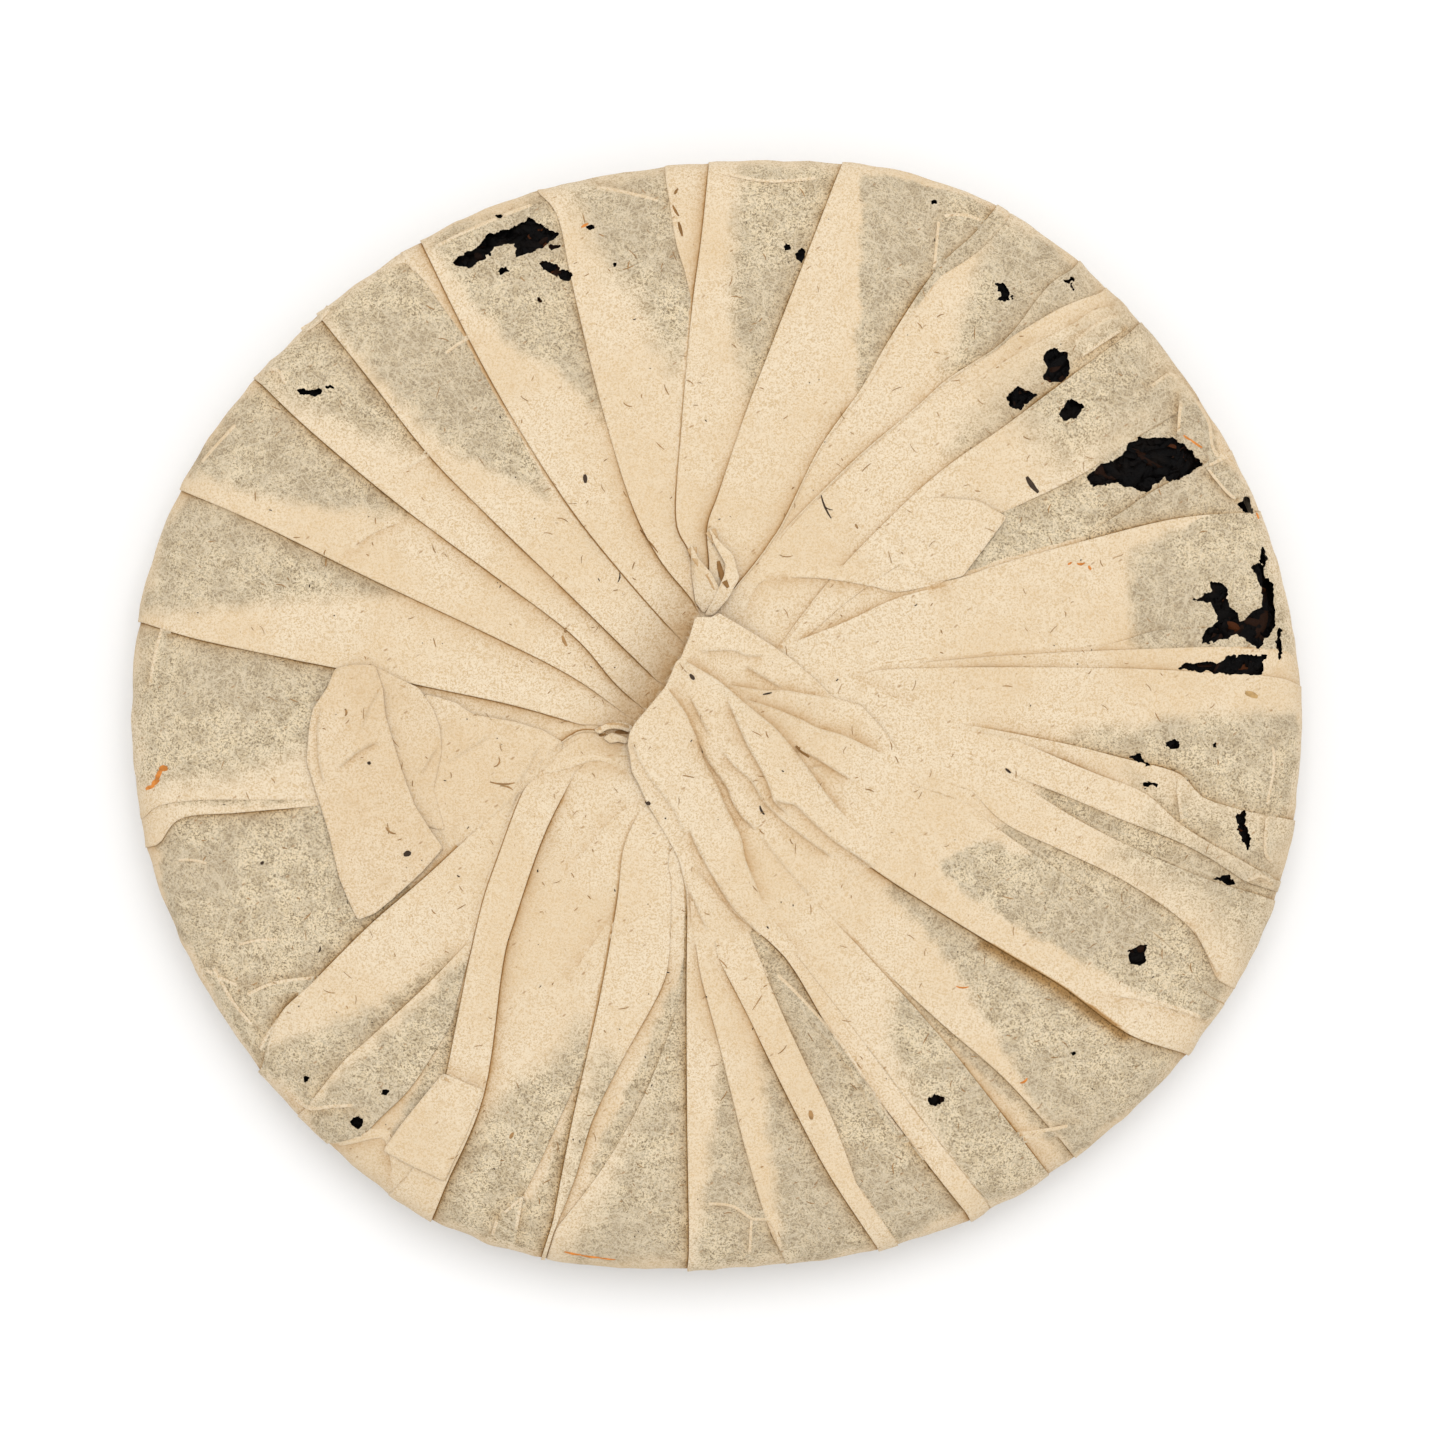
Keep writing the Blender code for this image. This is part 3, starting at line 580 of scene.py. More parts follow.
def panel_edge(bearing, way, degree, on, height, hem, tuck):
    """What runs on past a panel's edge, from its hidden end: bearing, lift and painted shade.

    A raised edge turns its hem under, and a low one is tucked beneath its neighbour. way is
    1 where the panel lies counter-clockwise of the edge, degree is a millimetre's share of
    a turn, and on is 0 where there is no step."""
    if hem is not None:
        # The hem turned under a raised edge and the part tucked beneath a neighbour carry painted shade.
        return [
            (bearing + way * hem * degree * on, np.minimum(height - 0.30, -0.15) * on, 1.0 + 0 * height),
            (bearing + way * 0.05 * degree * on, height - 0.26 * on, 0.6 + 0 * height),
            (bearing - way * 0.10 * degree * on, height - 0.13 * on, 0 * height),
        ]
    return [(bearing - way * tuck * reach * degree * on, height - 0.05 * reach * on, on)
            for reach in (1.0, 0.5)]


def build_top(material):
    """The pleated skin, and the length along the meridian at which it ends."""
    seam = float(np.interp(-SEAM_HEIGHT, -MERIDIAN_CURVE[:, 1], MERIDIAN_LENGTH))
    inner_rows = int(round((HUB_REACH - HUB_HOLE) / HUB_ROW_STEP))
    outer_rows = int(round((seam - HUB_REACH) / ROW_STEP))
    lengths = np.concatenate([np.linspace(HUB_HOLE, HUB_REACH, inner_rows, endpoint=False),
                              np.linspace(HUB_REACH, seam, outer_rows + 1)])
    radii, heights = on_meridian(lengths)
    below = lengths > MERIDIAN_LENGTH[int(np.argmax(MERIDIAN_CURVE[:, 0]))]
    fold_radii = np.where(below, NOMINAL_RADIUS, radii)
    bearings, steps = fold_table(fold_radii)
    bearings = keep_apart(bearings, fold_radii)
    rim_fade = smoothstep((lengths[-1] - 2.0 - lengths) / 9.0)
    count = len(FOLDS)
    bearings = np.vstack([bearings, bearings[:1] + 360.0])

    fold_steps = [steps[i] * rim_fade * ripple(i, lengths) for i in range(count)]
    columns = []      # bearing, lift and painted shade, each along the meridian, and the panel's number
    neighbours = []   # the pairs of columns with faces between them
    for i in range(count):
        j = (i + 1) % count
        sides, panel_steps = (FOLDS[i][1], FOLDS[j][1]), (fold_steps[i], fold_steps[j])
        radius = true_radius(radii, bearings[i])
        degree = np.degrees(1.0 / np.maximum(radius, 1.0))      # of a millimetre along the ring
        width = (bearings[i + 1] - bearings[i]) / degree
        before = bearings[i] - (bearings[i - 1] if i else bearings[count - 1] - 360.0)
        after = (bearings[i + 2] if i + 2 <= count else bearings[1] + 360.0) - bearings[i + 1]
        start_on, end_on = (np.minimum(step / 0.25, 1.0) for step in panel_steps)
        hem = np.minimum(HEM, 0.6 * width)
        first = panel_relief(0.0, width, sides, panel_steps)[0]
        last = panel_relief(1.0, width, sides, panel_steps)[0]

        inner = max(2, int(math.ceil(float(width.max()) / COLUMN_STEP)))
        shares = [np.full_like(width, k / inner) for k in range(inner + 1)]
        near = np.minimum(0.7 / np.maximum(width, 0.1), 0.66 / inner)
        nearer = np.minimum(0.3 / np.maximum(width, 0.1), 0.33 / inner)
        shares[1:1] = [nearer, near]
        shares[-1:-1] = [1.0 - near, 1.0 - nearer]
        strip = panel_edge(bearings[i], 1, degree, start_on, first, hem if sides[0] == CCW else None,
                           np.minimum(TUCK, 0.7 * before / degree))
        for share in shares:
            lift, painted_shade_and_tint = panel_relief(share, width, sides, panel_steps)
            strip.append((bearings[i] + share * width * degree, lift, painted_shade_and_tint))
        strip += panel_edge(bearings[i + 1], -1, degree, end_on, last, hem if sides[1] == CW else None,
                            np.minimum(TUCK, 0.7 * after / degree))[::-1]
        neighbours += [(len(columns) + k, len(columns) + k + 1) for k in range(len(strip) - 1)]
        columns += [(*values, i) for values in strip]

    bearing, lift, painted_shade_and_tint, panel = (np.array([c[k] for c in columns]) for k in range(4))
    outward, upward = -np.gradient(heights, lengths), np.gradient(radii, lengths)
    radius = true_radius(radii, bearing) + lift * outward
    x = radius * np.cos(np.radians(bearing))
    y = radius * np.sin(np.radians(bearing))
    top = ~below
    z = heights + lift * upward + np.where(top, gather_relief(x, y), 0.0)
    slit = line_distance(x, y, SLIT)
    # Painted shade in the hollow beside the twist's slit, where the left and top pleats dive under.
    painted_shade_and_tint = np.maximum(painted_shade_and_tint, 1.15 * np.exp(-np.abs(slit) / 4.0) * (slit < 0) * (z > 12.0))
    # Painted shade on the low side of each fine crease.
    for raised, step, breadth, tint, line in CREASES:
        away = -raised * line_distance(x, y, line)
        spread = np.exp(-np.abs(away)) if step else np.exp(-((away / breadth) ** 4))
        painted_shade_and_tint = np.maximum(painted_shade_and_tint, tint * spread * (away > -0.2) * top)

    # Soft hollows and swellings, and tension lines that run along the pleats.
    calm = rim_fade * smoothstep((radii - 12.0) / 20.0)
    z += 0.28 * waver(x, y, 17.0) * calm
    for height, more, start, reach, size, seed in CRUMPLES:
        z += (height + more * smoothstep((radii - start) / reach)) * creased(x, y, size, seed) * calm
    edge_on = smoothstep((radii - 92.0) / 8.0) * smoothstep((seam - lengths) / 8.0)
    push = (0.35 * creased(x, y, 8.0, 33.0) + 0.22 * waver(x, y, 3.6, 31.0)) * edge_on
    x, y = x * (1.0 + push / NOMINAL_RADIUS), y * (1.0 + push / NOMINAL_RADIUS)
    z += 0.10 * waver(x, y, 6.0, 5.0) * calm
    around = bearing * 0.55
    z += 0.10 * waver(around, np.broadcast_to(lengths, x.shape) / 3.2, 1.0, 9.0) * calm

    veil = np.full(x.shape, COVERED)
    haze = np.full(x.shape, PLAIN_HAZE)
    for i, fold in enumerate(FOLDS):
        here = panel == i
        if fold[0] in VEILS:
            side, soft, cover, points = VEILS[fold[0]]
            bare = side * line_distance(x[here], y[here], points)
            inside = np.hypot(x[here], y[here]) - cover
            veil[here] = np.clip(np.minimum(bare, inside), COVERED, -COVERED)
            haze[here] = soft
    # Where a fold has ended, the sheets beneath run on across its place.
    joined = np.ones(x.shape, dtype=bool)[1:]
    near_end = np.zeros(x.shape, dtype=bool)
    for k in np.flatnonzero(np.diff(panel)):
        fold = panel[k + 1] if panel[k + 1] > panel[k] else 0
        ended = steps[fold] < 0.06
        joined[k] = ended
        for c in range(k - 6, k + 8):
            near_end[c % len(veil)] |= ended
    for _ in range(24):
        flow = np.where(joined, veil[1:] - veil[:-1], 0.0)
        change = np.zeros(x.shape)
        change[1:] -= flow
        change[:-1] += flow
        veil = veil + 0.3 * change * near_end
    veil = np.minimum(veil, (98.7 - radii) * 1.2 + 2.5 * waver(x, y, 7.0, 12.0))
    veil = np.where(top, veil, np.minimum(veil, -1.5))

    rows = len(lengths)
    points = np.stack([x, y, z], axis=-1).reshape(-1, 3)
    faces = [face for a, b in neighbours for face in band_faces(a * rows, b * rows, rows)]
    mesh = mesh_from("paper_top", points, faces,
                     {"veil": veil.ravel(), "haze": haze.ravel(), "painted_shade_and_tint": painted_shade_and_tint.ravel()})
    bm = bmesh.new()
    bm.from_mesh(mesh)
    bmesh.ops.remove_doubles(bm, verts=bm.verts, dist=0.004 * MM)
    bmesh.ops.dissolve_degenerate(bm, edges=bm.edges, dist=0.001 * MM)
    torn = bm.copy()
    keep_faces(torn, True)
    keep_faces(bm, False)
    cut_tears(torn)
    part = bpy.data.meshes.new("torn")
    torn.to_mesh(part)
    bm.from_mesh(part)
    bmesh.ops.remove_doubles(bm, verts=bm.verts, dist=0.0005 * MM)
    bm.to_mesh(mesh)
    bm.free()
    torn.free()
    return new_object("paper_top", mesh, material), seam


def tear_field(x, y, index, outline):
    """Distance to one tear's ragged edge, - inside."""
    rough = 0.55 * waver(x, y, 1.4, 2.0 * index) + 0.38 * waver(x, y, 0.5, 7.0 + index)
    return inside_distance(x, y, outline) + rough


def all_tears():
    """The outlines of all tears, those of the pinholes made from their sizes."""
    tears = [list(outline) for outline in TEARS]
    for x, y, width, height in PINHOLES:
        ring = []
        for k in range(9):
            angle = 2 * math.pi * k / 9
            size = 0.5 + 0.16 * noise.noise(Vector((x + math.cos(angle), y + math.sin(angle), 4.0)))
            ring.append((x + width * size * math.cos(angle), y + height * size * math.sin(angle)))
        tears.append(ring)
    return tears


def keep_faces(bm, near):
    """Keeps only the faces near the tears, or only those away from them."""
    x, y, z = np.array([f.calc_center_median() for f in bm.faces]).T / MM
    marked = np.zeros(len(x), dtype=bool)
    for x0, x1, y0, y1 in map(box_of, all_tears()):
        marked |= ((x > x0 - TEAR_BORDER) & (x < x1 + TEAR_BORDER) & (y > y0 - TEAR_BORDER)
                   & (y < y1 + TEAR_BORDER) & (z > TEAR_LOWEST))
    gone = [f for f, mark in zip(bm.faces, marked) if mark != near]
    bmesh.ops.delete(bm, geom=gone, context="FACES")


def faces_near(bm, box):
    """The skin's faces round a tear."""
    x0, x1, y0, y1 = box
    near = []
    for face in bm.faces:
        c = face.calc_center_median()
        if ((x0 - TEAR_MARGIN) * MM < c.x < (x1 + TEAR_MARGIN) * MM
                and (y0 - TEAR_MARGIN) * MM < c.y < (y1 + TEAR_MARGIN) * MM and c.z > 11.0 * MM):
            near.append(face)
    return near


def faces_among(verts):
    """The faces whose corners all are among some points, in a lasting order."""
    return list(dict.fromkeys(f for v in verts for f in v.link_faces if all(w in verts for w in f.verts)))


def cut_tears(bm):
    """Cuts the tears through the sheet along their ragged edges."""
    for index, outline in enumerate(all_tears()):
        box = box_of(outline)
        size = min(box[1] - box[0], box[3] - box[2])
        for cuts in ((1, 1) if size > 3.0 else (2, 1)):
            edges = dict.fromkeys(e for f in faces_near(bm, box) for e in f.edges)
            bmesh.ops.subdivide_edges(bm, edges=list(edges), cuts=cuts, use_grid_fill=True)
        bmesh.ops.triangulate(bm, faces=faces_near(bm, box))
        near = faces_near(bm, box)
        verts = list(dict.fromkeys(v for f in near for v in f.verts))
        x = np.array([v.co.x for v in verts]) / MM
        y = np.array([v.co.y for v in verts]) / MM
        field = tear_field(x, y, index, outline)
        field = np.where(np.abs(field) < 0.02, 0.02, field)
        value = dict(zip(verts, field))
        for edge in list(dict.fromkeys(e for f in near for e in f.edges)):
            a, b = edge.verts
            if a in value and b in value and value[a] * value[b] < 0:
                _, middle = bmesh.utils.edge_split(edge, a, value[a] / (value[a] - value[b]))
                value[middle] = 0.0
        for face in faces_among(value):
            on_edge = [v for v in face.verts if value[v] == 0.0]
            if len(on_edge) == 2 and len(face.verts) > 3:
                bmesh.utils.face_split(face, on_edge[0], on_edge[1])
        gone = [f for f in faces_among(value) if min(value[v] for v in f.verts) < 0]
        bmesh.ops.delete(bm, geom=gone, context="FACES")


def build_under(material, seam_length):
    """The smooth face below: paper drawn tight over the domed front of the cake."""
    columns = 320
    rows = int(round((MERIDIAN_LENGTH[-1] - seam_length) / 2.2)) + 1
    lengths = np.linspace(seam_length, MERIDIAN_LENGTH[-1] - 3.0, rows)
    radii, heights = on_meridian(lengths)
    x, y = ring_grid(columns, radii)
    away = smoothstep((lengths - seam_length) / 8.0)
    z = heights + (0.16 * waver(x, y, 15.0, 2.0) + 0.08 * waver(x, y, 5.0, 8.0)) * away * (heights > 0.3)
    points = list(np.stack([x, y, np.maximum(z, 0.0)], axis=-1).reshape(-1, 3))
    centre = len(points)
    points.append((0.0, 0.0, 0.0))
    faces = ring_faces(columns, rows)
    faces += [((k + 1) * rows - 1, centre, (k + 1) % columns * rows + rows - 1) for k in range(columns)]
    soaked = np.clip(np.broadcast_to((lengths - seam_length) * 0.5 - 2.0, x.shape), COVERED, 6.0)
    veil = np.append(soaked.ravel(), 6.0)
    values = {"veil": veil, "haze": 0 * veil + 6.0, "painted_shade_and_tint": 0 * veil}
    return add_piece("paper_under", points, faces, values, material)


# --- Loose sheets --------------------------------------------------------------------
LINE_HALF = (0.07, -0.11)   # a crease's points lie this far to its left and right
CLEARANCE = 0.12            # a draped sheet's height above what is under it
SMOOTHING = 60              # rounds in which a draped sheet is drawn taut


def surface_tree(objects):
    """The surface of one or more pieces, to drop points on."""
    vertices, polygons = [], []
    for obj in objects:
        start = len(vertices)
        vertices += [v.co for v in obj.data.vertices]
        polygons += [tuple(start + k for k in p.vertices) for p in obj.data.polygons]
    return BVHTree.FromPolygons(vertices, polygons)


def drop_on(tree, x, y):
    """Height of the surface under a point, and the number of the face there, if any."""
    hit, _, index, _ = tree.ray_cast(Vector((x * MM, y * MM, 50.0 * MM)), Vector((0.0, 0.0, -1.0)))
    if hit is None:
        return float(plain_height(np.float64(x), np.float64(y))), None
    return hit.z / MM, index


def dense_loop(outline, spacing):
    """The outline's points at even spacing, its corners a little rounded."""
    loop = np.array(outline, dtype=float)
    dense = []
    for a, b in zip(loop, np.roll(loop, -1, axis=0)):
        steps = max(1, int(math.ceil(np.hypot(*(b - a)[:2]) / spacing)))
        dense += [a + (b - a) * k / steps for k in range(steps)]
    edge = np.array(dense)
    edge = 0.5 * edge + 0.25 * (np.roll(edge, 1, axis=0) + np.roll(edge, -1, axis=0))
    area = np.sum(edge[:, 0] * np.roll(edge[:, 1], -1) - edge[:, 1] * np.roll(edge[:, 0], -1))
    return edge if area > 0 else edge[::-1]


def dense_line(points, spacing):
    """A line's points at even spacing."""
    line = catmull(points, 8) if len(points) > 2 else np.array(points, dtype=float)
    length = lengths_along(line)
    at = np.linspace(0.0, length[-1], max(2, int(length[-1] / spacing) + 1))
    return np.stack([np.interp(at, length, line[:, 0]), np.interp(at, length, line[:, 1])], axis=-1)


def offset_line(line, distance):
    """A line moved sideways, to its left for a distance above zero."""
    along = np.gradient(line, axis=0)
    along /= np.hypot(along[:, 0], along[:, 1])[:, None]
    return line + distance * np.stack([-along[:, 1], along[:, 0]], axis=-1)


def taper(line, x, y, reach):
    """1 along a line's middle, falling to 0 at its ends over a length."""
    steps = lengths_along(line)
    best = np.full(len(x), 1e9)
    place = np.zeros(len(x))
    for k, point in enumerate(line):
        d = np.hypot(x - point[0], y - point[1])
        place = np.where(d < best, steps[k], place)
        best = np.minimum(best, d)
    return smoothstep(place / reach[0] + 0.02) * smoothstep((steps[-1] - place) / reach[1] + 0.02)


def runs_beside(lines, border):
    """Points close beside each line on both sides, inside a border, and the runs they form."""
    extra, chains = [], []
    for line in lines:
        for away in LINE_HALF:
            side = offset_line(line, away)
            inside = inside_distance(side[:, 0], side[:, 1], border) < -0.3
            run = []
            for point, good in zip(side, inside):
                if good:
                    run.append(len(extra))
                    extra.append(tuple(point))
                elif run:
                    chains.append(run)
                    run = []
            if run:
                chains.append(run)
    return extra, chains


def rolled_edge(x, y, z, rim, raised):
    """Rings of points that roll a sheet's free rim under, the painted shade on them, and the faces that
    join them.

    raised is 1 where the rim stands free, and 0 where it lies against what is below."""
    loop = np.stack([x[rim], y[rim]], axis=-1)
    along = np.roll(loop, -1, axis=0) - np.roll(loop, 1, axis=0)
    along /= np.maximum(np.hypot(along[:, 0], along[:, 1]), 1e-6)[:, None]
    points, painted_shade_and_tint, faces = [], [], []
    previous = rim
    # The rings turned under the rim carry painted shade, darkest on the innermost.
    for outward, down, tint in ((0.08, 0.10, 0.0), (-0.10, 0.20, 0.5), (-1.0, 0.26, 1.0)):
        ring = [len(x) + len(painted_shade_and_tint) + k for k in range(len(rim))]
        points.append(np.stack([x[rim] + along[:, 1] * outward * raised,
                                y[rim] - along[:, 0] * outward * raised,
                                z[rim] - down * raised], axis=-1))
        painted_shade_and_tint += [tint] * len(rim)
        for k in range(len(rim)):
            j = (k + 1) % len(rim)
            if raised[k] > 0.05 or raised[j] > 0.05:
                faces.append((previous[j], previous[k], ring[k], ring[j]))
        previous = ring
    return np.concatenate(points), painted_shade_and_tint, faces


def sheet(name, outline, tree, material, height, spacing, creases, tan):
    """A loose sheet. outline holds x, y and the edge's lift, height gives the inner z, and
    tan is how much tan tint the whole sheet takes.

    A crease is: step, the spread of the raised side, lengths over which it fades in and
    out at its start and end, how much painted shade lies on its low side, and its line; the
    raised side is on the line's left."""
    edge = dense_loop(outline, spacing)
    count = len(edge)
    border = [tuple(p[:2]) for p in edge]
    lines = [dense_line(crease[4], 0.4) for crease in creases]
    extra, chains = runs_beside(lines, border)
    low, high = edge.min(axis=0), edge.max(axis=0)
    gx, gy = np.meshgrid(np.arange(low[0], high[0], spacing),
                         np.arange(low[1], high[1], spacing * 0.866))
    gx = gx + 0.5 * spacing * (np.arange(gx.shape[0]) % 2)[:, None]
    gx, gy = gx.ravel(), gy.ravel()
    keep = inside_distance(gx, gy, border) < -0.45 * spacing
    for line in lines:
        keep &= np.abs(line_distance(gx, gy, [tuple(p) for p in line])) > 0.33
    flat = [Vector(p) for p in border + extra + list(zip(gx[keep], gy[keep]))]
    constraints = [(k, (k + 1) % count) for k in range(count)]
    constraints += [(count + a, count + b) for run in chains for a, b in zip(run, run[1:])]
    points, _, faces, origin, _, _ = delaunay_2d_cdt(flat, constraints, [list(range(count))], 1, 1e-4)
    x = np.array([p.x for p in points])
    y = np.array([p.y for p in points])
    on_edge = np.full(len(x), -1)
    for k, sources in enumerate(origin):
        for source in sources:
            if source < count:
                on_edge[k] = source
    floor = np.array([drop_on(tree, a, b)[0] for a, b in zip(x, y)])
    inward = np.where(on_edge >= 0, 0.0, -inside_distance(x, y, border))
    nearest = np.argmin(np.hypot(x[:, None] - edge[:, 0], y[:, None] - edge[:, 1]), axis=1)
    z = height(x, y, floor, inward, edge[nearest, 2], on_edge >= 0, faces)
    painted_shade_and_tint = np.full(len(x), tan)
    # Painted shade on the low side of each crease.
    for (step, spread, reach, tint, _), line in zip(creases, lines):
        d = line_distance(x, y, [tuple(p) for p in line])
        strength = taper(line, x, y, reach)
        raised = smoothstep((d - LINE_HALF[1]) / (LINE_HALF[0] - LINE_HALF[1]))
        high_side = step * np.exp(-np.maximum(d, 0.0) / spread)
        low_side = -0.25 * step * np.exp(np.minimum(d, 0.0) / 0.8)
        z = z + strength * (low_side + (high_side - low_side) * raised)
        painted_shade_and_tint = np.maximum(painted_shade_and_tint, tint * strength * (1.0 - raised) * np.exp(np.minimum(d, 0.0) / 1.1))
    z = z + 0.05 * (waver(x, y, 3.0, 3.3) + waver(x, y, 1.2, 1.3)) * smoothstep(inward / 1.5)

    rim = [k for k in np.argsort(on_edge) if on_edge[k] >= 0]
    raised = np.clip((z[rim] - floor[rim]) / 0.4, 0.0, 1.0)
    rolled, rolled_shade, rolled_faces = rolled_edge(x, y, z, rim, raised)
    points = np.concatenate([np.stack([x, y, z], axis=-1), rolled])
    mesh = mesh_from(name, points, [tuple(f) for f in faces] + rolled_faces,
                     {"veil": np.full(len(points), COVERED), "haze": np.full(len(points), PLAIN_HAZE),
                      "painted_shade_and_tint": np.concatenate([painted_shade_and_tint, rolled_shade])})
    bm = bmesh.new()
    bm.from_mesh(mesh)
    loose = [v for v in bm.verts if not v.link_faces]
    bmesh.ops.delete(bm, geom=loose, context="VERTS")
    if sum(f.normal.z for f in bm.faces) < 0:
        bmesh.ops.reverse_faces(bm, faces=bm.faces)
    bm.to_mesh(mesh)
    bm.free()
    return new_object(name, mesh, material)


def build_creases(top, tree, material):
    """A narrow lap of paper along each fine crease, sunk back into its panel beyond."""
    veil, haze = (np.array([a.value for a in top.data.attributes[name].data])
                  for name in ("veil", "haze"))
    points, faces, veils, hazes, painted_shades = [], [], [], [], []
    # Across the lap, from its hidden edge: distance, rise, share of the step, painted shade and pale.
    crest = 0.38
    profile = [(0.30, -0.45, 1.0, 1.0, 0.0), (-0.02, -0.40, 1.0, 0.8, 0.0),
               (-0.06, -0.10, 1.0, 0.3, 1.0), (0.02, 0.0, 1.0, 0.0, 1.0), (crest, 0.0, 1.0, 0.0, 1.0)]
    for raised, step, breadth, _, line in [crease for crease in CREASES if crease[1] > 0.0]:
        path = dense_line(line, 0.6)
        share = np.linspace(0.0, 1.0, len(path))
        strength = smoothstep(share / 0.2) * smoothstep((1.0 - share) / 0.2)
        strength = strength * (0.8 + 0.5 * np.array([noise.noise(Vector((*p, 4.0))) for p in path]))
        start = len(points)
        rings = profile + [(crest + (breadth - crest) * part, 0.0, 1.0 - part, 0.0, 0.0)
                           for part in (0.2, 0.5, 0.75, 1.0)]
        for k, (away, rise, share_left, tint, pale) in enumerate(rings):
            for (x, y), force in zip(offset_line(path, raised * away), strength):
                base, index = drop_on(tree, x, y)
                sunk = 0.12 * (1.0 - force) + (0.12 if k == len(rings) - 1 else 0.0)
                points.append((x, y, base + force * (step * smoothstep(share_left) + rise) - sunk))
                own = [] if index is None else list(top.data.polygons[index].vertices)
                soaked = float(veil[own].mean()) if own else COVERED
                shown = pale * float(smoothstep((force - 0.2) / 0.3))
                veils.append(soaked + (min(soaked, -2.5) - soaked) * shown)
                hazes.append(float(haze[own].mean()) if own else PLAIN_HAZE)
                painted_shades.append(tint)
        count = len(path)
        for k in range(len(rings) - 1):
            for face in band_faces(start + k * count, start + (k + 1) * count, count):
                faces.append(face if raised == LEFT else face[::-1])
    values = {"veil": veils, "haze": hazes, "painted_shade_and_tint": painted_shades}
    return add_piece("fine_creases", points, faces, values, material)


def draped(crown=0.0):
    """A height that lays the sheet tight over whatever is under it, crowned in its middle."""
    def height(x, y, floor, inward, edge_lift, on_edge, faces):
        z = np.where(on_edge, floor + edge_lift, floor + 0.4)
        pairs = np.array([(f[k], f[(k + 1) % 3]) for f in faces for k in range(3)])
        pairs = np.vstack([pairs, pairs[:, ::-1]])
        degree = np.maximum(np.bincount(pairs[:, 0], minlength=len(x)), 1)
        for _ in range(SMOOTHING):
            mean = np.bincount(pairs[:, 0], weights=z[pairs[:, 1]], minlength=len(x)) / degree
            z = np.where(on_edge, z, np.maximum(mean, floor + CLEARANCE))
        return z + crown * smoothstep(inward / 5.0)
    return height


def twisted(x, y, floor, inward, edge_lift, on_edge, faces):
    """Height of the gathered pleats that meet in the twist."""
    from_slit = np.abs(line_distance(x, y, SLIT))
    own = plain_height(x, y) + 0.35 + 1.0 * np.exp(-((from_slit / 12.0) ** 2))
    own += 0.22 * waver(x, y, 6.0, 4.0)
    far = np.abs(line_distance(x, y, HUB_OUTER_EDGE))
    blend = smoothstep((far - 1.0) / 8.0)
    lying = floor - 0.12 + 0.2 * smoothstep(far / 1.5)
    return lying + blend * (own - lying)


FLAP = (
    (-66, 8, 0.6), (-62.5, 8.7, 0.8), (-59, 8.5, 0.9), (-57.7, 4.5, 1), (-57.3, 0, 1),
    (-56, -4.5, 1), (-54.5, -9.5, 1), (-52.3, -15.5, 1), (-49.5, -20, 1.1), (-47.3, -23, 1.2),
    (-50.9, -27.1, 1.1), (-55.8, -31.6, 1), (-59.2, -34.4, 0.9), (-62.1, -35.4, 0.9),
    (-63.9, -31.5, 0.9), (-65.3, -28, 0.9), (-67, -20.5, 0.9), (-69, -14, 0.9), (-70.9, -8, 0.9),
    (-70.4, -2, 1), (-69.8, 1, 0.9), (-67.3, 4.7, 0.8),
)
FLAP_CREASES = (
    (0.45, 3, (2, 2), 0.6, ((-65.8, -9.6), (-62, -6.5), (-58, -4.4))),
    (0.35, 2, (3, 3), 0.5, ((-68.3, 2.5), (-69, -3), (-68.8, -8), (-67.6, -13))),
    (0.3, 2, (2, 2), 0.3, ((-57.5, 5.5), (-60, 1), (-61.5, -3))),
)
UNDER_FLAP = (
    (-60, 7, 0.3), (-59, 8.3, 0.5), (-55, 6.3, 0.7), (-51.5, 4.6, 0.9), (-49, 1, 0.9),
    (-47.8, -2.5, 0.8), (-47.6, -6.5, 0.6), (-49, -13, 0.4), (-47, -20, 0.3), (-52, -19, 0.2),
    (-60, -10, 0.2), (-62, 0, 0.2),
)
UNDER_FLAP_CREASES = (
    (0.3, 2, (2, 2), 0.4, ((-51.5, -11), (-49.5, -7.5), (-47.9, -5))),
)
INNER_FLAP = (
    (-50.5, 3.5, 0.6), (-48, 3, 0.6), (-45, 2, 0.7), (-42, 0, 0.6), (-38.5, -0.6, 0.6),
    (-35, -1.2, 0.6), (-30, -2.7, 0.5), (-26.5, -4.8, 0.3), (-27.5, -8, -0.4), (-34, -14, -0.5),
    (-40, -19.5, -0.5), (-46.5, -24, -0.3), (-49.5, -17, 0.2), (-50, -5, 0.3),
)
INNER_FLAP_CREASES = (
    (0.2, 3, (3, 3), 0.2, ((-47.5, -9), (-43, -6), (-38, -3))),
    (0.25, 3, (3, 3), 0.2, ((-36, -14), (-32.5, -9), (-30, -4))),
)
STRIP_END = (
    (-47.3, -62, 0.5), (-51, -66.5, 0.6), (-55, -71.5, 0.7), (-57.9, -75.7, 0.7), (-53, -78.2, 0.7),
    (-47.2, -80.9, 0.6), (-45, -76, 0.3), (-43.5, -73, 0.2), (-40.3, -64.9, 0.2), (-42, -64.3, 0.5),
)
CORNER = (
    (37, 37.6, 0.1), (40, 37.5, 0.4), (45.3, 37, 0.6), (50.2, 34.2, 0.9), (46.4, 29.1, 0.8),
    (42.6, 24, 0.5), (37, 22.6, -0.3), (31, 25, -0.4), (32, 33, -0.4),
)
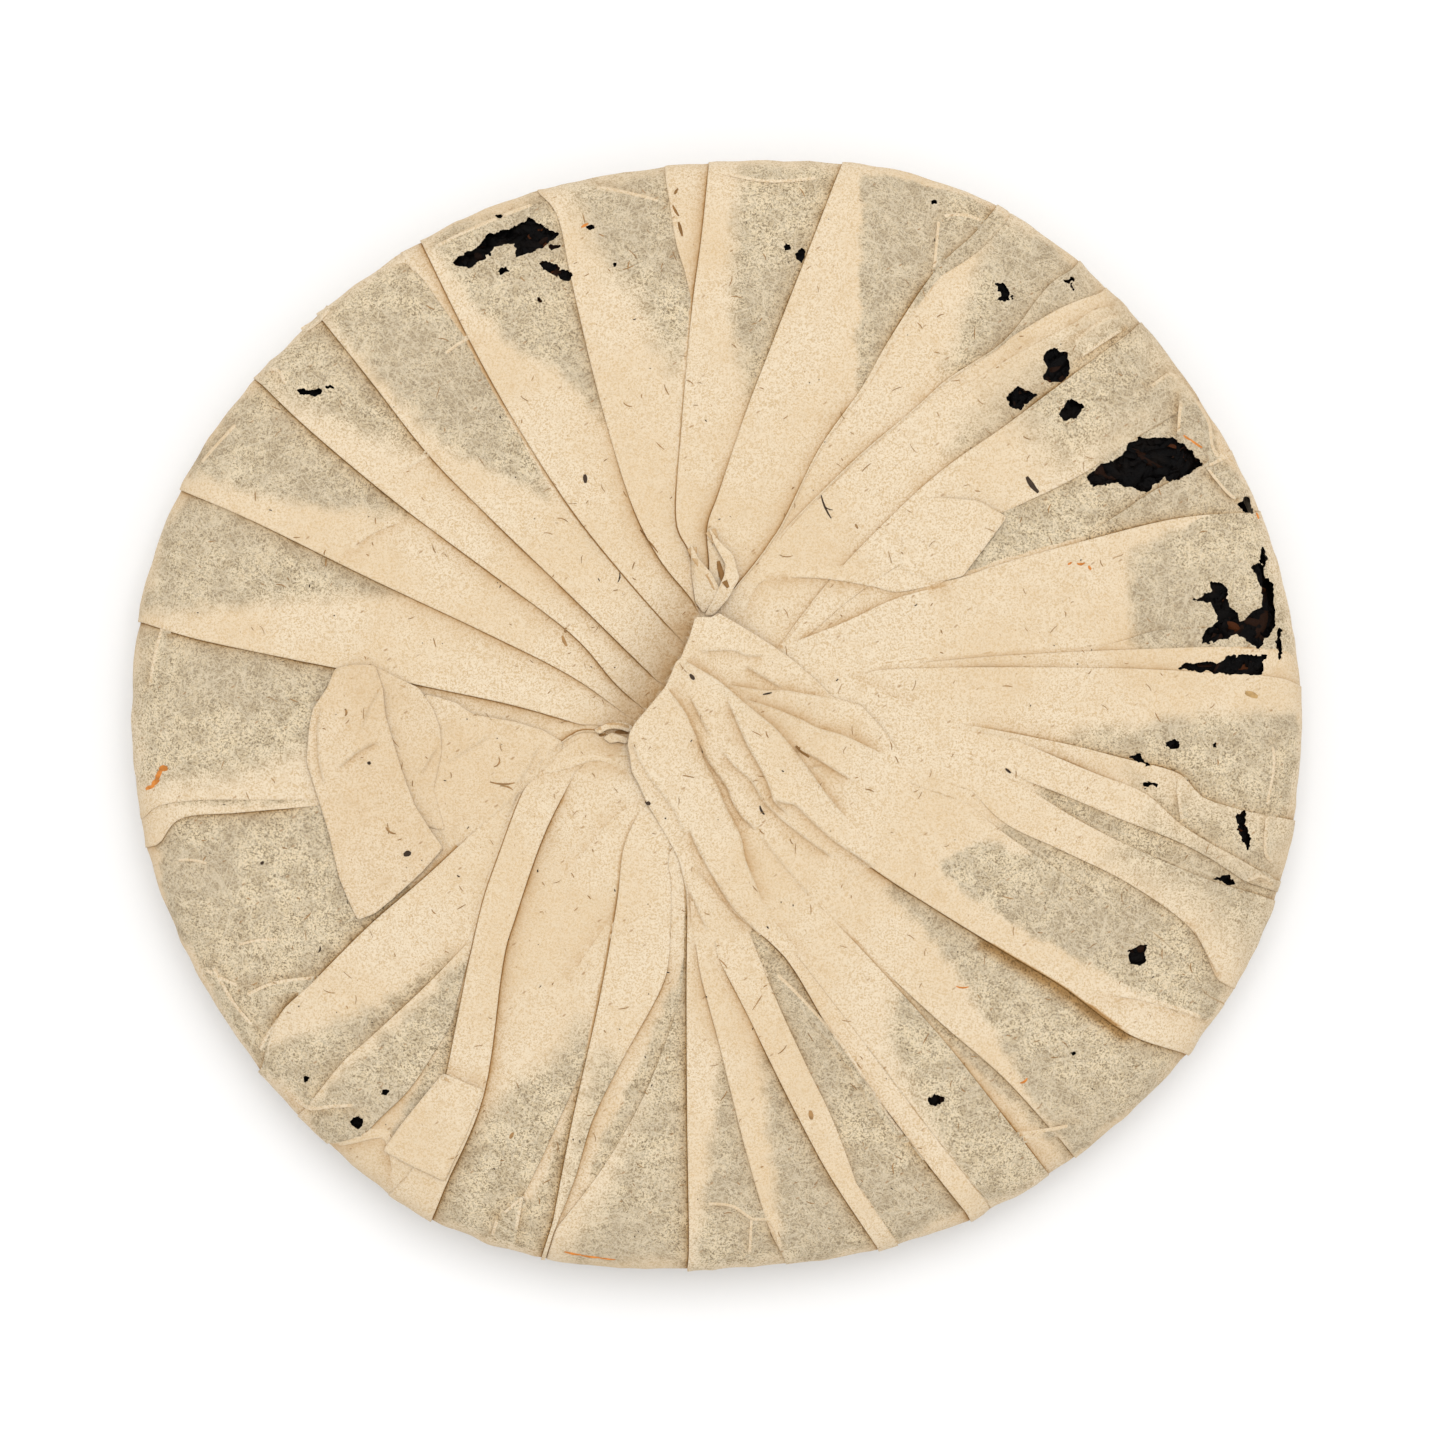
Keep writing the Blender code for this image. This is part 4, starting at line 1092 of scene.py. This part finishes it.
RIBBON_HIGH = (
    (-1.3, 32.3, 0.6), (0.2, 30.2, 0.9), (2.9, 27.6, 1.3), (3.9, 23.6, 1.5), (2, 20.2, 1.6),
    (-0.6, 17.2, 1.3), (-2, 17.3, 0.9), (-0.2, 20.6, 1.3), (1.4, 24, 1.5), (1.6, 26, 1.3),
    (-0.3, 29.4, 0.8),
)
RIBBON_LOW = (
    (-4.4, 29.4, 0.4), (-3, 26.8, 0.9), (-0.9, 24.4, 1), (0.6, 21.6, 1.1), (-0.6, 19.6, 1.1),
    (-2.2, 17.6, 0.7), (-3.6, 19.5, 0.5), (-4.3, 24.5, 0.4),
)
KNOT_HIGH = (
    (-21.2, -2.6, 0.5), (-19.2, -1.6, 1.2), (-17.2, -1.2, 1.4), (-15.4, -1.5, 1.2),
    (-14, -2.6, 0.8), (-15.2, -3, 1), (-16.4, -2.5, 1.5), (-17.8, -2.3, 1.6), (-19, -2.5, 1.4),
    (-20.3, -3.3, 0.8),
)
KNOT_LOW = (
    (-19.6, -4, 0.5), (-18.3, -3.1, 0.9), (-16.4, -3.7, 1), (-15.2, -4.2, 0.8), (-15.6, -5, 0.5),
    (-17, -4.6, 0.7), (-18.4, -4.9, 0.5),
)
HUB_OUTER_EDGE = (
    (32.8, -8), (34.5, -12.5), (32, -19), (27.5, -26), (20.5, -32), (12.5, -36.5), (5, -39),
    (-1, -40), (-5.1, -40),
)
HUB = tuple((x, y, 1) for x, y in SLIT) + (
    (-15.3, -5, 0.6), (-14.9, -7.5, 0.5), (-14.6, -9.8, 0.5), (-13.3, -12.2, 0.5),
    (-12, -15.2, 0.5), (-9.8, -19, 0.5), (-7.5, -23, 0.6), (-6.3, -25.5, 0.8), (-5.3, -30, 0.6),
    (-5, -35, 0.3),
) + tuple((x, y, -0.1) for x, y in HUB_OUTER_EDGE[::-1]) + (
    (30.7, -5, 0.2), (28.7, -2.4, 0.5), (26.2, 0.3, 0.7), (25, 1.6, 0.8), (20.1, 3, 0.8),
    (17, 6.2, 0.9), (15.5, 7.4, 0.9), (13.5, 9.2, 1), (10.6, 11.3, 1), (7.5, 13.3, 1),
    (4.4, 15.2, 1), (2, 16.6, 1.1), (0.3, 17.6, 1.2), (-0.8, 16.8, 1.3),
)
HUB_CREASES = (
    # The middle lobe's upper right edge, over the right lobe.
    (0.75, 3.5, (6, 0.5), 0.8, ((23.5, -19), (20, -15), (15.8, -9.3), (12.9, -5.5), (10, -2.2),
        (7.6, -0.2), (5, 1.9), (3.4, 3.3), (0, 6.1), (-5.2, 9.2))),
    # Creases between the middle and lower lobes.
    (0.45, 2.5, (14, 1), 1, ((10.2, -36.4), (8.3, -33.4), (7, -30), (5, -25), (4.3, -21.5),
        (3, -18.6), (1.5, -15.8), (0.3, -12.7), (-1, -10), (-2.3, -7.5), (-3, -5), (-4.2, -2.3),
        (-5.3, 0.2), (-7, 2.6), (-8.6, 4.6))),
    (0.7, 2.5, (4, 2.5), 1, ((-4.2, -1.6), (-2.9, -5), (-1.3, -8.2), (0.5, -10.7), (1.8, -12.6),
        (2.6, -14.7), (4.3, -17.5), (7.2, -20.3))),
    (0.2, 3, (2, 5), 0.2, ((7.2, -20.3), (10, -24), (15, -30), (18, -33))),
    (0.35, 2, (2.5, 2.5), 0.7, ((-5, 4.2), (-3.6, 1.2), (-2.1, -1.9), (-0.6, -4.3))),
    (0.6, 2.5, (3, 3), 0.9, ((1.6, 3.2), (3.6, -1.4), (5, -4.6), (6.9, -8), (8.3, -10.6),
        (9.3, -13), (9.9, -14.9), (11.4, -16.4), (13, -17.8))),
    (0.4, 2, (3, 2), 0.8, ((0.5, -5.6), (3, -8.8), (5.6, -11), (6.9, -12.9), (8.2, -15.1),
        (10.5, -17.4), (13.2, -19.7), (17.2, -22.7), (20.5, -25))),
    (0.45, 3, (1.5, 6), 0.7, ((9.6, -14.6), (12, -15.3), (13.8, -15.8), (17, -18.9), (20.6, -22),
        (25.7, -25.4), (29, -28))),
    # Right lobes.
    (0.45, 3, (5, 1.5), 0.8, ((21.5, 2.6), (15, 3.7), (11.6, 4.25), (8.5, 4.2), (5, 4.7),
        (1.2, 5.3))),
    (0.35, 1.6, (1.5, 1), 0.9, ((4.6, 8.6), (8, 6.6), (11.4, 4.5))),
    (0.6, 3, (5, 2.5), 0.9, ((30, -7.4), (23.2, -4.1), (20.5, -3.1), (17.3, -2.2), (15, -1),
        (10, 1.1), (6.2, 2.3), (4, 3))),
    (0.3, 2, (2, 2), 0.5, ((-3.4, 10.8), (0, 11.1), (3, 11.1), (5.3, 10.2), (8.8, 10.3))),
    (0.4, 1.5, (0.8, 0.8), 1, ((18.8, -8.8), (15.9, -9.2))),
    (0.4, 1.5, (0.8, 3), 1, ((13.2, -5.4), (17, -7.4), (21.5, -10.2), (24, -11.6))),
    # Fine creases of the lower lobe.
    (0.25, 2, (2, 4), 0.3, ((-15, -3.6), (-13.7, -7), (-12, -10.2), (-10, -13), (-8.1, -15.4),
        (-6.3, -18.7), (-5, -22.2))),
    (0.55, 2.5, (1.5, 4), 0.9, ((-4.8, -19.4), (-4, -21.6), (-2.5, -24.6), (0, -29), (2.8, -33.4),
        (5, -35.6), (7.6, -38.1))),
    (0.35, 2.5, (4, 2), 0.5, ((4.9, -38), (3, -34.6), (0.5, -31.6), (-2.4, -28.2), (-4, -26))),
    (0.35, 2, (2, 4), 0.6, ((-5, -29.8), (-3.3, -33.6), (-1.2, -38.4))),
)


# --- Materials -----------------------------------------------------------------------
PAPER_TONE = 0.70    # the studio light is strong, as the white stage shows


def srgb(red, green, blue):
    """Linear colour of an sRGB one given in 0-255."""
    def one(value):
        value /= 255.0
        return value / 12.92 if value <= 0.04045 else ((value + 0.055) / 1.055) ** 2.4
    return (one(red), one(green), one(blue), 1.0)


class Nodes:
    """A short way to write a material's nodes."""

    def __init__(self, name):
        self.material = bpy.data.materials.new(name)
        self.material.use_nodes = True
        self.tree = self.material.node_tree
        self.shader = self.tree.nodes["Principled BSDF"]

    def add(self, kind, inputs=None, **settings):
        node = self.tree.nodes.new(kind)
        for key, value in settings.items():
            setattr(node, key, value)
        for key, value in (inputs or {}).items():
            self.put(node.inputs[key], value)
        return node

    def put(self, socket, value):
        if isinstance(value, bpy.types.NodeSocket):
            self.tree.links.new(value, socket)
        else:
            socket.default_value = value

    def math(self, operation, a, b=0.0, clamp=False):
        node = self.add("ShaderNodeMath", operation=operation, use_clamp=clamp)
        self.put(node.inputs[0], a)
        self.put(node.inputs[1], b)
        return node.outputs[0]

    def mix(self, share, a, b, blend="MIX"):
        node = self.add("ShaderNodeMix", data_type="RGBA", blend_type=blend, clamp_factor=True)
        self.put(node.inputs[0], share)
        self.put(node.inputs[6], a)
        self.put(node.inputs[7], b)
        return node.outputs[2]

    def ramp(self, value, low, high, out_low=0.0, out_high=1.0):
        node = self.add("ShaderNodeMapRange", interpolation_type="SMOOTHSTEP")
        for index, item in enumerate((value, low, high, out_low, out_high)):
            self.put(node.inputs[index], item)
        return node.outputs[0]

    def noise(self, where, scale, detail=2.0, rough=0.5, distortion=0.0):
        node = self.add("ShaderNodeTexNoise", {"Vector": where, "Scale": scale, "Detail": detail,
                                               "Roughness": rough, "Distortion": distortion})
        return node.outputs["Fac"]

    def attribute(self, name):
        return self.add("ShaderNodeAttribute", attribute_name=name).outputs["Fac"]

    def millimetres(self, turn=0.0, stretch=(1.0, 1.0, 1.0)):
        place = self.add("ShaderNodeTexCoord").outputs["Object"]
        inputs = {"Vector": place, "Rotation": (0.0, 0.0, math.radians(turn)),
                  "Scale": tuple(MM / s for s in stretch)}
        return self.add("ShaderNodeMapping", inputs, vector_type="TEXTURE").outputs[0]

    def lines(self, where, width, rough):
        """Thin lines where a noise field crosses its middle value."""
        field = self.noise(where, 1.0, 2.0, 0.5, rough)
        away = self.math("ABSOLUTE", self.math("SUBTRACT", field, 0.5))
        return self.ramp(away, 0.0, width, 1.0, 0.0)

    def bump(self, height, strength, distance):
        node = self.add("ShaderNodeBump", {"Height": height, "Strength": strength, "Distance": distance})
        self.put(self.shader.inputs["Normal"], node.outputs[0])

    def surface(self, colour, roughness, specular):
        """Sets the shader's colour, roughness and shine, and gives the material."""
        values = {"Base Color": colour, "Roughness": roughness, "Specular IOR Level": specular}
        for name, value in values.items():
            self.put(self.shader.inputs[name], value)
        return self.material


def paper_material():
    n = Nodes("Cotton paper")
    where = n.millimetres()
    cloud = n.noise(where, 0.045, 3.0)
    mottle = n.noise(where, 0.30, 4.0, 0.6)
    speckle = n.noise(where, 2.8, 3.0, 0.7)
    fleck = n.ramp(speckle, 0.34, 0.66)

    # The felted mass of fine fibres: ridges of stretched noise, laid in many directions.
    felt = None
    for turn in (8, 47, 83, 118, 155):
        ridge = n.lines(n.millimetres(turn, (0.55, 4.2, 1.0)), 0.08, 0.3)
        felt = ridge if felt is None else n.math("ADD", felt, ridge)
    felt = n.math("MULTIPLY", felt, 0.32)

    # Single long bast fibres.
    fibres = None
    for turn, width in ((20, 0.030), (74, 0.030), (128, 0.030), (160, 0.026)):
        line = n.lines(n.millimetres(turn, (0.16, 0.85, 0.2)), width, 0.8)
        fibres = line if fibres is None else n.math("MAXIMUM", fibres, line)
    grain = n.math("ADD", n.math("MULTIPLY", felt, 0.55), n.ramp(fleck, 0.0, 1.0, -0.03, 0.48))

    veil = n.math("ADD", n.attribute("veil"), n.math("MULTIPLY", n.math("SUBTRACT", mottle, 0.5), 4.0))
    haze = n.attribute("haze")
    bare = n.ramp(veil, n.math("MULTIPLY", haze, -1.0), haze)

    cream = n.mix(n.ramp(grain, 0.26, 0.60), srgb(222, 192, 149), srgb(252, 232, 201))
    cream = n.mix(n.ramp(cloud, 0.38, 0.66, 0.0, 0.55), cream, srgb(236, 206, 163))
    cream = n.mix(n.ramp(mottle, 0.50, 0.75, 0.0, 0.40), cream, srgb(229, 198, 154))
    cream = n.mix(n.math("MULTIPLY", fibres, 0.25), cream, srgb(251, 236, 210))
    grey = n.mix(n.ramp(grain, 0.28, 0.62), srgb(140, 123, 96), srgb(250, 229, 191))
    grey = n.mix(n.ramp(mottle, 0.38, 0.64, 0.0, 0.55), grey, srgb(172, 151, 119))
    grey = n.mix(n.ramp(mottle, 0.50, 0.26, 0.0, 0.55), grey, srgb(228, 206, 170))
    grey = n.mix(n.ramp(cloud, 0.42, 0.60, 0.0, 0.42), grey, srgb(182, 164, 137))
    grey = n.mix(n.math("MULTIPLY", fibres, 0.50), grey, srgb(247, 231, 202))
    colour = n.mix(bare, cream, grey)
    # Painted shade: the low sides of folds, crevices, turned-under and tucked paper and the hollow by the
    # twist are darkened to tan, the deepest to golden brown; the same attribute also gives the loose
    # flaps their slight tan tint.
    shade_and_tint_level = n.attribute("painted_shade_and_tint")
    painted_shade_and_tint = n.math("MULTIPLY", shade_and_tint_level, n.ramp(mottle, 0.25, 0.65, 0.65, 1.0), clamp=True)
    colour = n.mix(n.math("MULTIPLY", painted_shade_and_tint, 0.80), colour, srgb(211, 181, 134), "MULTIPLY")
    colour = n.mix(n.ramp(shade_and_tint_level, 0.85, 1.7, 0.0, 0.80), colour, srgb(190, 154, 46), "MULTIPLY")

    # Specks of bark and leaf dust.
    for turn, scale, most in ((35, 0.55, 0.60), (110, 1.1, 0.72)):
        cells = n.add("ShaderNodeTexVoronoi", {"Vector": n.millimetres(turn, (0.5, 1.3, 1.0)),
                                               "Scale": scale, "Randomness": 1.0})
        speck = n.ramp(cells.outputs["Distance"], 0.06, 0.16, 1.0, 0.0)
        chance = n.add("ShaderNodeSeparateColor", {0: cells.outputs["Color"]}).outputs[0]
        some = n.ramp(chance, most, most + 0.1)
        shown = n.math("MULTIPLY", n.math("MULTIPLY", speck, some), 0.6)
        colour = n.mix(shown, colour, srgb(168, 124, 76))
    colour = n.mix(1.0, colour, (PAPER_TONE, PAPER_TONE, PAPER_TONE, 1.0), "MULTIPLY")

    relief = n.math("ADD", n.math("MULTIPLY", felt, 0.5), n.math("MULTIPLY", speckle, 0.5))
    relief = n.math("ADD", relief, n.math("MULTIPLY", mottle, 1.6))
    n.bump(relief, 0.5, 0.2 * MM)
    return n.surface(colour, 0.88, 0.18)


def tea_material():
    n = Nodes("Pressed tea")
    where = n.millimetres()
    big = n.noise(where, 0.35, 3.0)
    fine = n.noise(where, 2.2, 4.0, 0.6)
    colour = n.mix(n.ramp(big, 0.45, 0.70), srgb(5, 4, 4), srgb(12, 8, 6))
    colour = n.mix(n.ramp(fine, 0.55, 0.75, 0.0, 0.6), colour, srgb(22, 13, 8))
    tint = n.attribute("tint")
    colour = n.mix(n.ramp(tint, 0.80, 0.90), colour, srgb(34, 18, 9))
    colour = n.mix(n.ramp(tint, 0.955, 0.965), colour, srgb(66, 34, 15))
    n.bump(n.math("ADD", big, fine), 0.8, 0.3 * MM)
    return n.surface(colour, 0.45, 0.05)


def plain_material(name, colour, roughness):
    """One colour with darker clouds."""
    n = Nodes(name)
    colour = tuple(PAPER_TONE * c for c in colour[:3]) + (1.0,)
    dark = tuple(0.72 * c for c in colour[:3]) + (1.0,)
    cloud = n.ramp(n.noise(n.millimetres(), 0.8, 3.0), 0.40, 0.62)
    return n.surface(n.mix(cloud, colour, dark), roughness, 0.2)


# --- Tea -----------------------------------------------------------------------------
LEAF_INSET = 3.6     # no leaf comes nearer to the outline


def build_tea(material):
    """The cake under the paper: a rough core, and the leaves pressed into its face."""
    columns = 300
    inset = 1.7
    centre = 11.6
    lengths = np.arange(2.0, MERIDIAN_LENGTH[-1] - 2.0, 1.7)
    rows = len(lengths)
    radii, heights = on_meridian(lengths)
    x, y = ring_grid(columns, radii, inset)
    squash = (centre - inset) / centre
    dimple = np.where(heights > centre, 5.4 * np.exp(-((radii / 24.0) ** 2)), 0.0)
    z = centre + (heights - centre) * squash - dimple + 0 * x
    z += np.sign(heights - centre) * (0.35 * waver(x, y, 5.0, 1.0) + 0.3 * waver(x, y, 1.8, 6.0) - 0.2)
    faces = ring_faces(columns, rows)
    faces.append(tuple(k * rows for k in range(columns)))
    faces.append(tuple(k * rows + rows - 1 for k in reversed(range(columns))))
    points = np.stack([x, y, z], axis=-1).reshape(-1, 3)
    return add_piece("tea_core", points, faces, {}, material)


def leaf_reach(x, y):
    """How far from the middle a leaf may lie, on a point's bearing."""
    return float(outline_radius(math.degrees(math.atan2(y, x)))) - LEAF_INSET


def build_leaves(material, core):
    """Twisted leaves on the cake's face, wherever a tear lays it bare."""
    tree = surface_tree([core])
    points, faces, tints = [], [], []
    for outline in all_tears():
        x0, x1, y0, y1 = box_of(outline)
        area = (x1 - x0 + 4.0) * (y1 - y0 + 4.0)
        for _ in range(int(6 + area * 0.9)):
            x = random.uniform(x0 - 2.0, x1 + 2.0)
            y = random.uniform(y0 - 2.0, y1 + 2.0)
            if math.hypot(x, y) > leaf_reach(x, y):
                continue
            angle = random.uniform(0.0, 2 * math.pi)
            length = random.uniform(2.5, 9.0)
            width = random.uniform(0.35, 1.15)
            bend = random.uniform(-0.12, 0.12)
            lift = random.uniform(0.0, 0.75)
            roll, twist = random.uniform(-0.5, 0.5), random.uniform(-0.12, 0.12)
            tint = random.random()
            start = len(points)
            steps = 9
            for k in range(steps):
                part = k / (steps - 1)
                half = width * math.sin(math.pi * (0.08 + 0.84 * part)) ** 0.6
                angle += bend
                ahead = (x + length / steps * math.cos(angle), y + length / steps * math.sin(angle))
                if math.hypot(*ahead) < leaf_reach(x, y):
                    x, y = ahead
                tilt = roll + twist * k
                base = drop_on(tree, x, y)[0] + lift * math.sin(math.pi * part) ** 0.5
                side = (-math.sin(angle), math.cos(angle))
                for across, rise in ((-1.0, 0.0), (-0.4, 0.34), (0.4, 0.34), (1.0, 0.0)):
                    away = half * (across * math.cos(tilt) - rise * math.sin(tilt))
                    high = half * (across * math.sin(tilt) + rise * math.cos(tilt))
                    points.append((x + side[0] * away, y + side[1] * away, base + high + 0.1))
                    tints.append(tint)
            faces += ribbon_faces(start, steps, 4)
    return add_piece("leaves", points, faces, {"tint": tints}, material)


# --- Scattered bits ------------------------------------------------------------------
# Bits that stand out, by kind: start, bearing, length, width and bend.
BITS = {
    "bark": (
        (24, 33, -60, 0.9, 0.4, 0), (-26.7, 13.7, -75, 2, 0.6, 0.1),
        (-57.2, -19.4, -60, 2.2, 0.35, 0.3), (-39.2, -11.6, -15, 4.4, 0.35, 0.15),
        (-37.4, -12.3, 0, 2.4, 0.3, -0.2), (-26.2, 14.2, 80, 0.9, 0.5, 0),
        (-67.5, 27.3, -105, 1.6, 0.3, 0.1), (10.9, 27.7, -25, 2.4, 0.2, 0.25),
        (-35.8, -73.4, 60, 1.2, 0.6, 0), (16.2, -68.5, -80, 1.6, 0.9, 0),
        (-64.2, -0.2, 60, 1.4, 0.4, 0.4), (-38.5, -9, 20, 2.2, 0.3, 0.5),
    ),
    "dark": (
        (18.1, 38, -75, 4.4, 0.35, 0.1), (18.4, 36.6, -60, 2.2, 0.22, 0.3),
        (-22.8, 41.6, -85, 1.5, 0.8, 0), (-17.1, 22.9, 62, 1.8, 0.25, 0.2),
        (-54.1, -24.2, 10, 1.3, 1, 0.2), (50, -9.3, -40, 1.2, 0.5, 0), (-12.3, -15, -30, 1, 0.7, 0),
        (7.5, -15.7, -80, 1.8, 0.4, 0.2), (-4.6, 7, -50, 1.2, 0.7, 0), (8, 3.5, 12, 1.6, 0.35, 0),
        (53.7, 41.2, -62, 3.4, 0.9, 0.1), (-79, -25.9, 40, 0.7, 0.6, 0),
        (-69, -41.2, 50, 1.2, 0.3, 0.3), (-60.4, -8.4, 20, 0.6, 0.5, 0),
        (-60.2, -8.6, 40, 0.5, 0.4, 0),
    ),
    "orange": (
        (41.5, -47, -20, 2.2, 0.3, 0.2), (-95.4, -9.3, 184, 1.6, 1.2, 0.05),
        (-96.6, -9.6, -105, 2, 1.3, -0.12), (-97, -11.3, -135, 1.6, 1.2, -0.25),
        (-97.9, -12.4, -160, 1.8, 0.9, 0), (81.2, 48.6, -48, 1.6, 0.5, 0.2),
        (82.3, 47.9, -42, 2.6, 0.5, 0.1), (62.4, 26.2, -20, 1.4, 0.5, 0.3),
        (64.4, 25.8, -60, 0.8, 0.5, 0), (60.8, 26, 30, 0.8, 0.4, 0),
        (52.6, -63.8, 10, 1.6, 0.45, 0.3), (-23.5, 84.6, 30, 1.4, 0.5, 0),
        (94.2, 35.3, -75, 1.2, 0.6, 0.1), (-26.5, -93.6, -10, 3, 0.5, 0),
        (-23.6, -94.2, -8, 3.2, 0.5, 0), (-20.6, -94.7, -6, 3, 0.4, 0),
    ),
    # Slivers of painted shade, laid deep in folds and in the hollows by the twist.
    "painted_fold_shade": (
        (-20.4, -3.5, 15, 1.2, 1, 0), (-17.6, -3, -5, 2.2, 0.9, 0), (0.3, 26.6, -80, 5, 1.1, 0.12),
        (-13.2, 32, -52, 5, 0.35, 0), (-7.6, 88.5, -70, 2.2, 0.5, 0.1),
        (-6.6, 85.5, -75, 2.6, 0.6, 0), (-7.3, 90.5, 60, 1.2, 0.5, 0), (13.7, -5.4, -40, 3, 0.7, 0),
    ),
    "tan": (
        (91.7, 3.9, -20, 2.4, 1.2, 0),
    ),
}
# Fine bits strewn all over: kind, number, greatest length and width.
STREWN = (("bark", 420, 2.2, 0.22), ("dark", 110, 0.6, 0.28))


def build_bits(tree, materials):
    """Flecks of bark, leaf dust and orange peel that stick to the paper, a scrap of bared tan paper, and
    dark tan slivers of painted shade deep in folds.
    """
    chosen = {kind: list(rows) for kind, rows in BITS.items()}
    for kind, number, longest, thickest in STREWN:
        for _ in range(number):
            radius, around = 93.0 * math.sqrt(random.random()), random.uniform(0.0, 360.0)
            x, y = radius * math.cos(math.radians(around)), radius * math.sin(math.radians(around))
            length = longest * (0.25 + 0.75 * random.random() ** 2)
            chosen[kind].append((x, y, random.uniform(0.0, 360.0), length,
                                 thickest * random.uniform(0.45, 1.0), random.uniform(-0.25, 0.25)))
    made = []
    for kind, rows in chosen.items():
        points, faces = [], []
        for x, y, bearing, length, width, bend in rows:
            start, steps, angle = len(points), 5, math.radians(bearing)
            for k in range(steps):
                part = k / (steps - 1)
                half = 0.5 * width * (0.25 + 0.75 * math.sin(math.pi * (0.1 + 0.8 * part)))
                half *= 1.0 + 0.3 * noise.noise(Vector((x * 3.0, y * 3.0, k)))
                side = (-math.sin(angle), math.cos(angle))
                z = drop_on(tree, x, y)[0] + 0.03
                for across, rise in ((-1.0, 0.0), (0.0, 0.09), (1.0, 0.0)):
                    points.append((x + side[0] * half * across, y + side[1] * half * across, z + rise))
                x += length / (steps - 1) * math.cos(angle)
                y += length / (steps - 1) * math.sin(angle)
                angle += bend
            faces += ribbon_faces(start, steps, 3)
        made.append(add_piece(kind + "_bits", points, faces, {}, materials[kind]))
    return made


# --- Build ---------------------------------------------------------------------------
# Loose sheets, the lower ones first: name, outline, height, spacing of points, creases
# and how much tan tint the whole sheet takes.
SHEETS = (
    ("flap_below", UNDER_FLAP, draped(), 0.6, UNDER_FLAP_CREASES, 0.15),
    ("flap_inner", INNER_FLAP, draped(), 0.6, INNER_FLAP_CREASES, 0.10),
    ("loose_flap", FLAP, draped(crown=0.3), 0.6, FLAP_CREASES, 0.15),
    ("strip_end", STRIP_END, draped(crown=0.15), 0.6, (), 0.0),
    ("corner", CORNER, draped(), 0.6, (), 0.0),
    ("ribbon_low", RIBBON_LOW, draped(), 0.4, (), 0.0),
    ("ribbon_high", RIBBON_HIGH, draped(), 0.4, (), 0.0),
    ("knot_low", KNOT_LOW, draped(), 0.35, (), 0.0),
    ("knot_high", KNOT_HIGH, draped(), 0.35, (), 0.0),
    ("twist", HUB, twisted, 0.5, HUB_CREASES, 0.0),
)

random.seed(11)
paper = paper_material()
tea = tea_material()
top, seam_length = build_top(paper)
tree = surface_tree([top])
pieces = [top, build_under(paper, seam_length), build_creases(top, tree, paper)]
for name, outline, height, spacing, creases, tan in SHEETS:
    pieces.append(sheet(name, outline, tree, paper, height, spacing, creases, tan))
core = build_tea(tea)
leaves = build_leaves(tea, core)
pieces += build_bits(surface_tree(pieces), {
    "bark": plain_material("Bark", srgb(184, 142, 92), 0.8),
    "dark": plain_material("Leaf dust", srgb(72, 56, 42), 0.8),
    "tan": plain_material("Bared tan paper", srgb(206, 168, 112), 0.9),
    # Painted shade: the colour of paper deep in the dark of a fold.
    "painted_fold_shade": plain_material("Painted shade in folds", srgb(160, 118, 70), 0.9),
    "orange": plain_material("Orange peel", srgb(235, 147, 64), 0.6),
})
for piece in pieces + [core, leaves]:
    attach(piece, "root")
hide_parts("paper_wrapper")
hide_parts("tea_cake")

# --- Stage, light and camera ---------------------------------------------------------
bpy.ops.mesh.primitive_plane_add(size=6.0, location=(0.0, 0.0, -0.0002))
floor = bpy.context.object
floor.name = "stage_floor"
floor.data.materials.append(Nodes("Stage").surface((0.78, 0.78, 0.78, 1.0), 0.9, 0.1))

world = bpy.data.worlds.new("Studio")
bpy.context.scene.world = world
world.use_nodes = True
world.node_tree.nodes["Background"].inputs["Color"].default_value = (1.0, 1.0, 1.0, 1.0)
world.node_tree.nodes["Background"].inputs["Strength"].default_value = 1.04


def area_light(name, place, size, power):
    data = bpy.data.lights.new(name, "AREA")
    data.shape = "SQUARE"
    data.size = size
    data.energy = power
    lamp = bpy.data.objects.new(name, data)
    bpy.context.scene.collection.objects.link(lamp)
    lamp.location = place
    lamp.rotation_euler = (-Vector(place)).to_track_quat("-Z", "Y").to_euler()


area_light("key", (0.10, 0.42, 1.62), 1.0, 13.3)

FRAME_WIDTH = 249.3     # seen at the height of the cake's top
LENS = 100.0
SENSOR = 36.0
camera = bpy.data.cameras.new("Camera")
camera.lens = LENS
camera.sensor_width = SENSOR
eye = bpy.data.objects.new("Camera", camera)
bpy.context.scene.collection.objects.link(eye)
eye.location = (0.6 * MM, -0.9 * MM, (23.0 + FRAME_WIDTH * LENS / SENSOR) * MM)
bpy.context.scene.camera = eye
bpy.context.scene.view_settings.view_transform = "Standard"
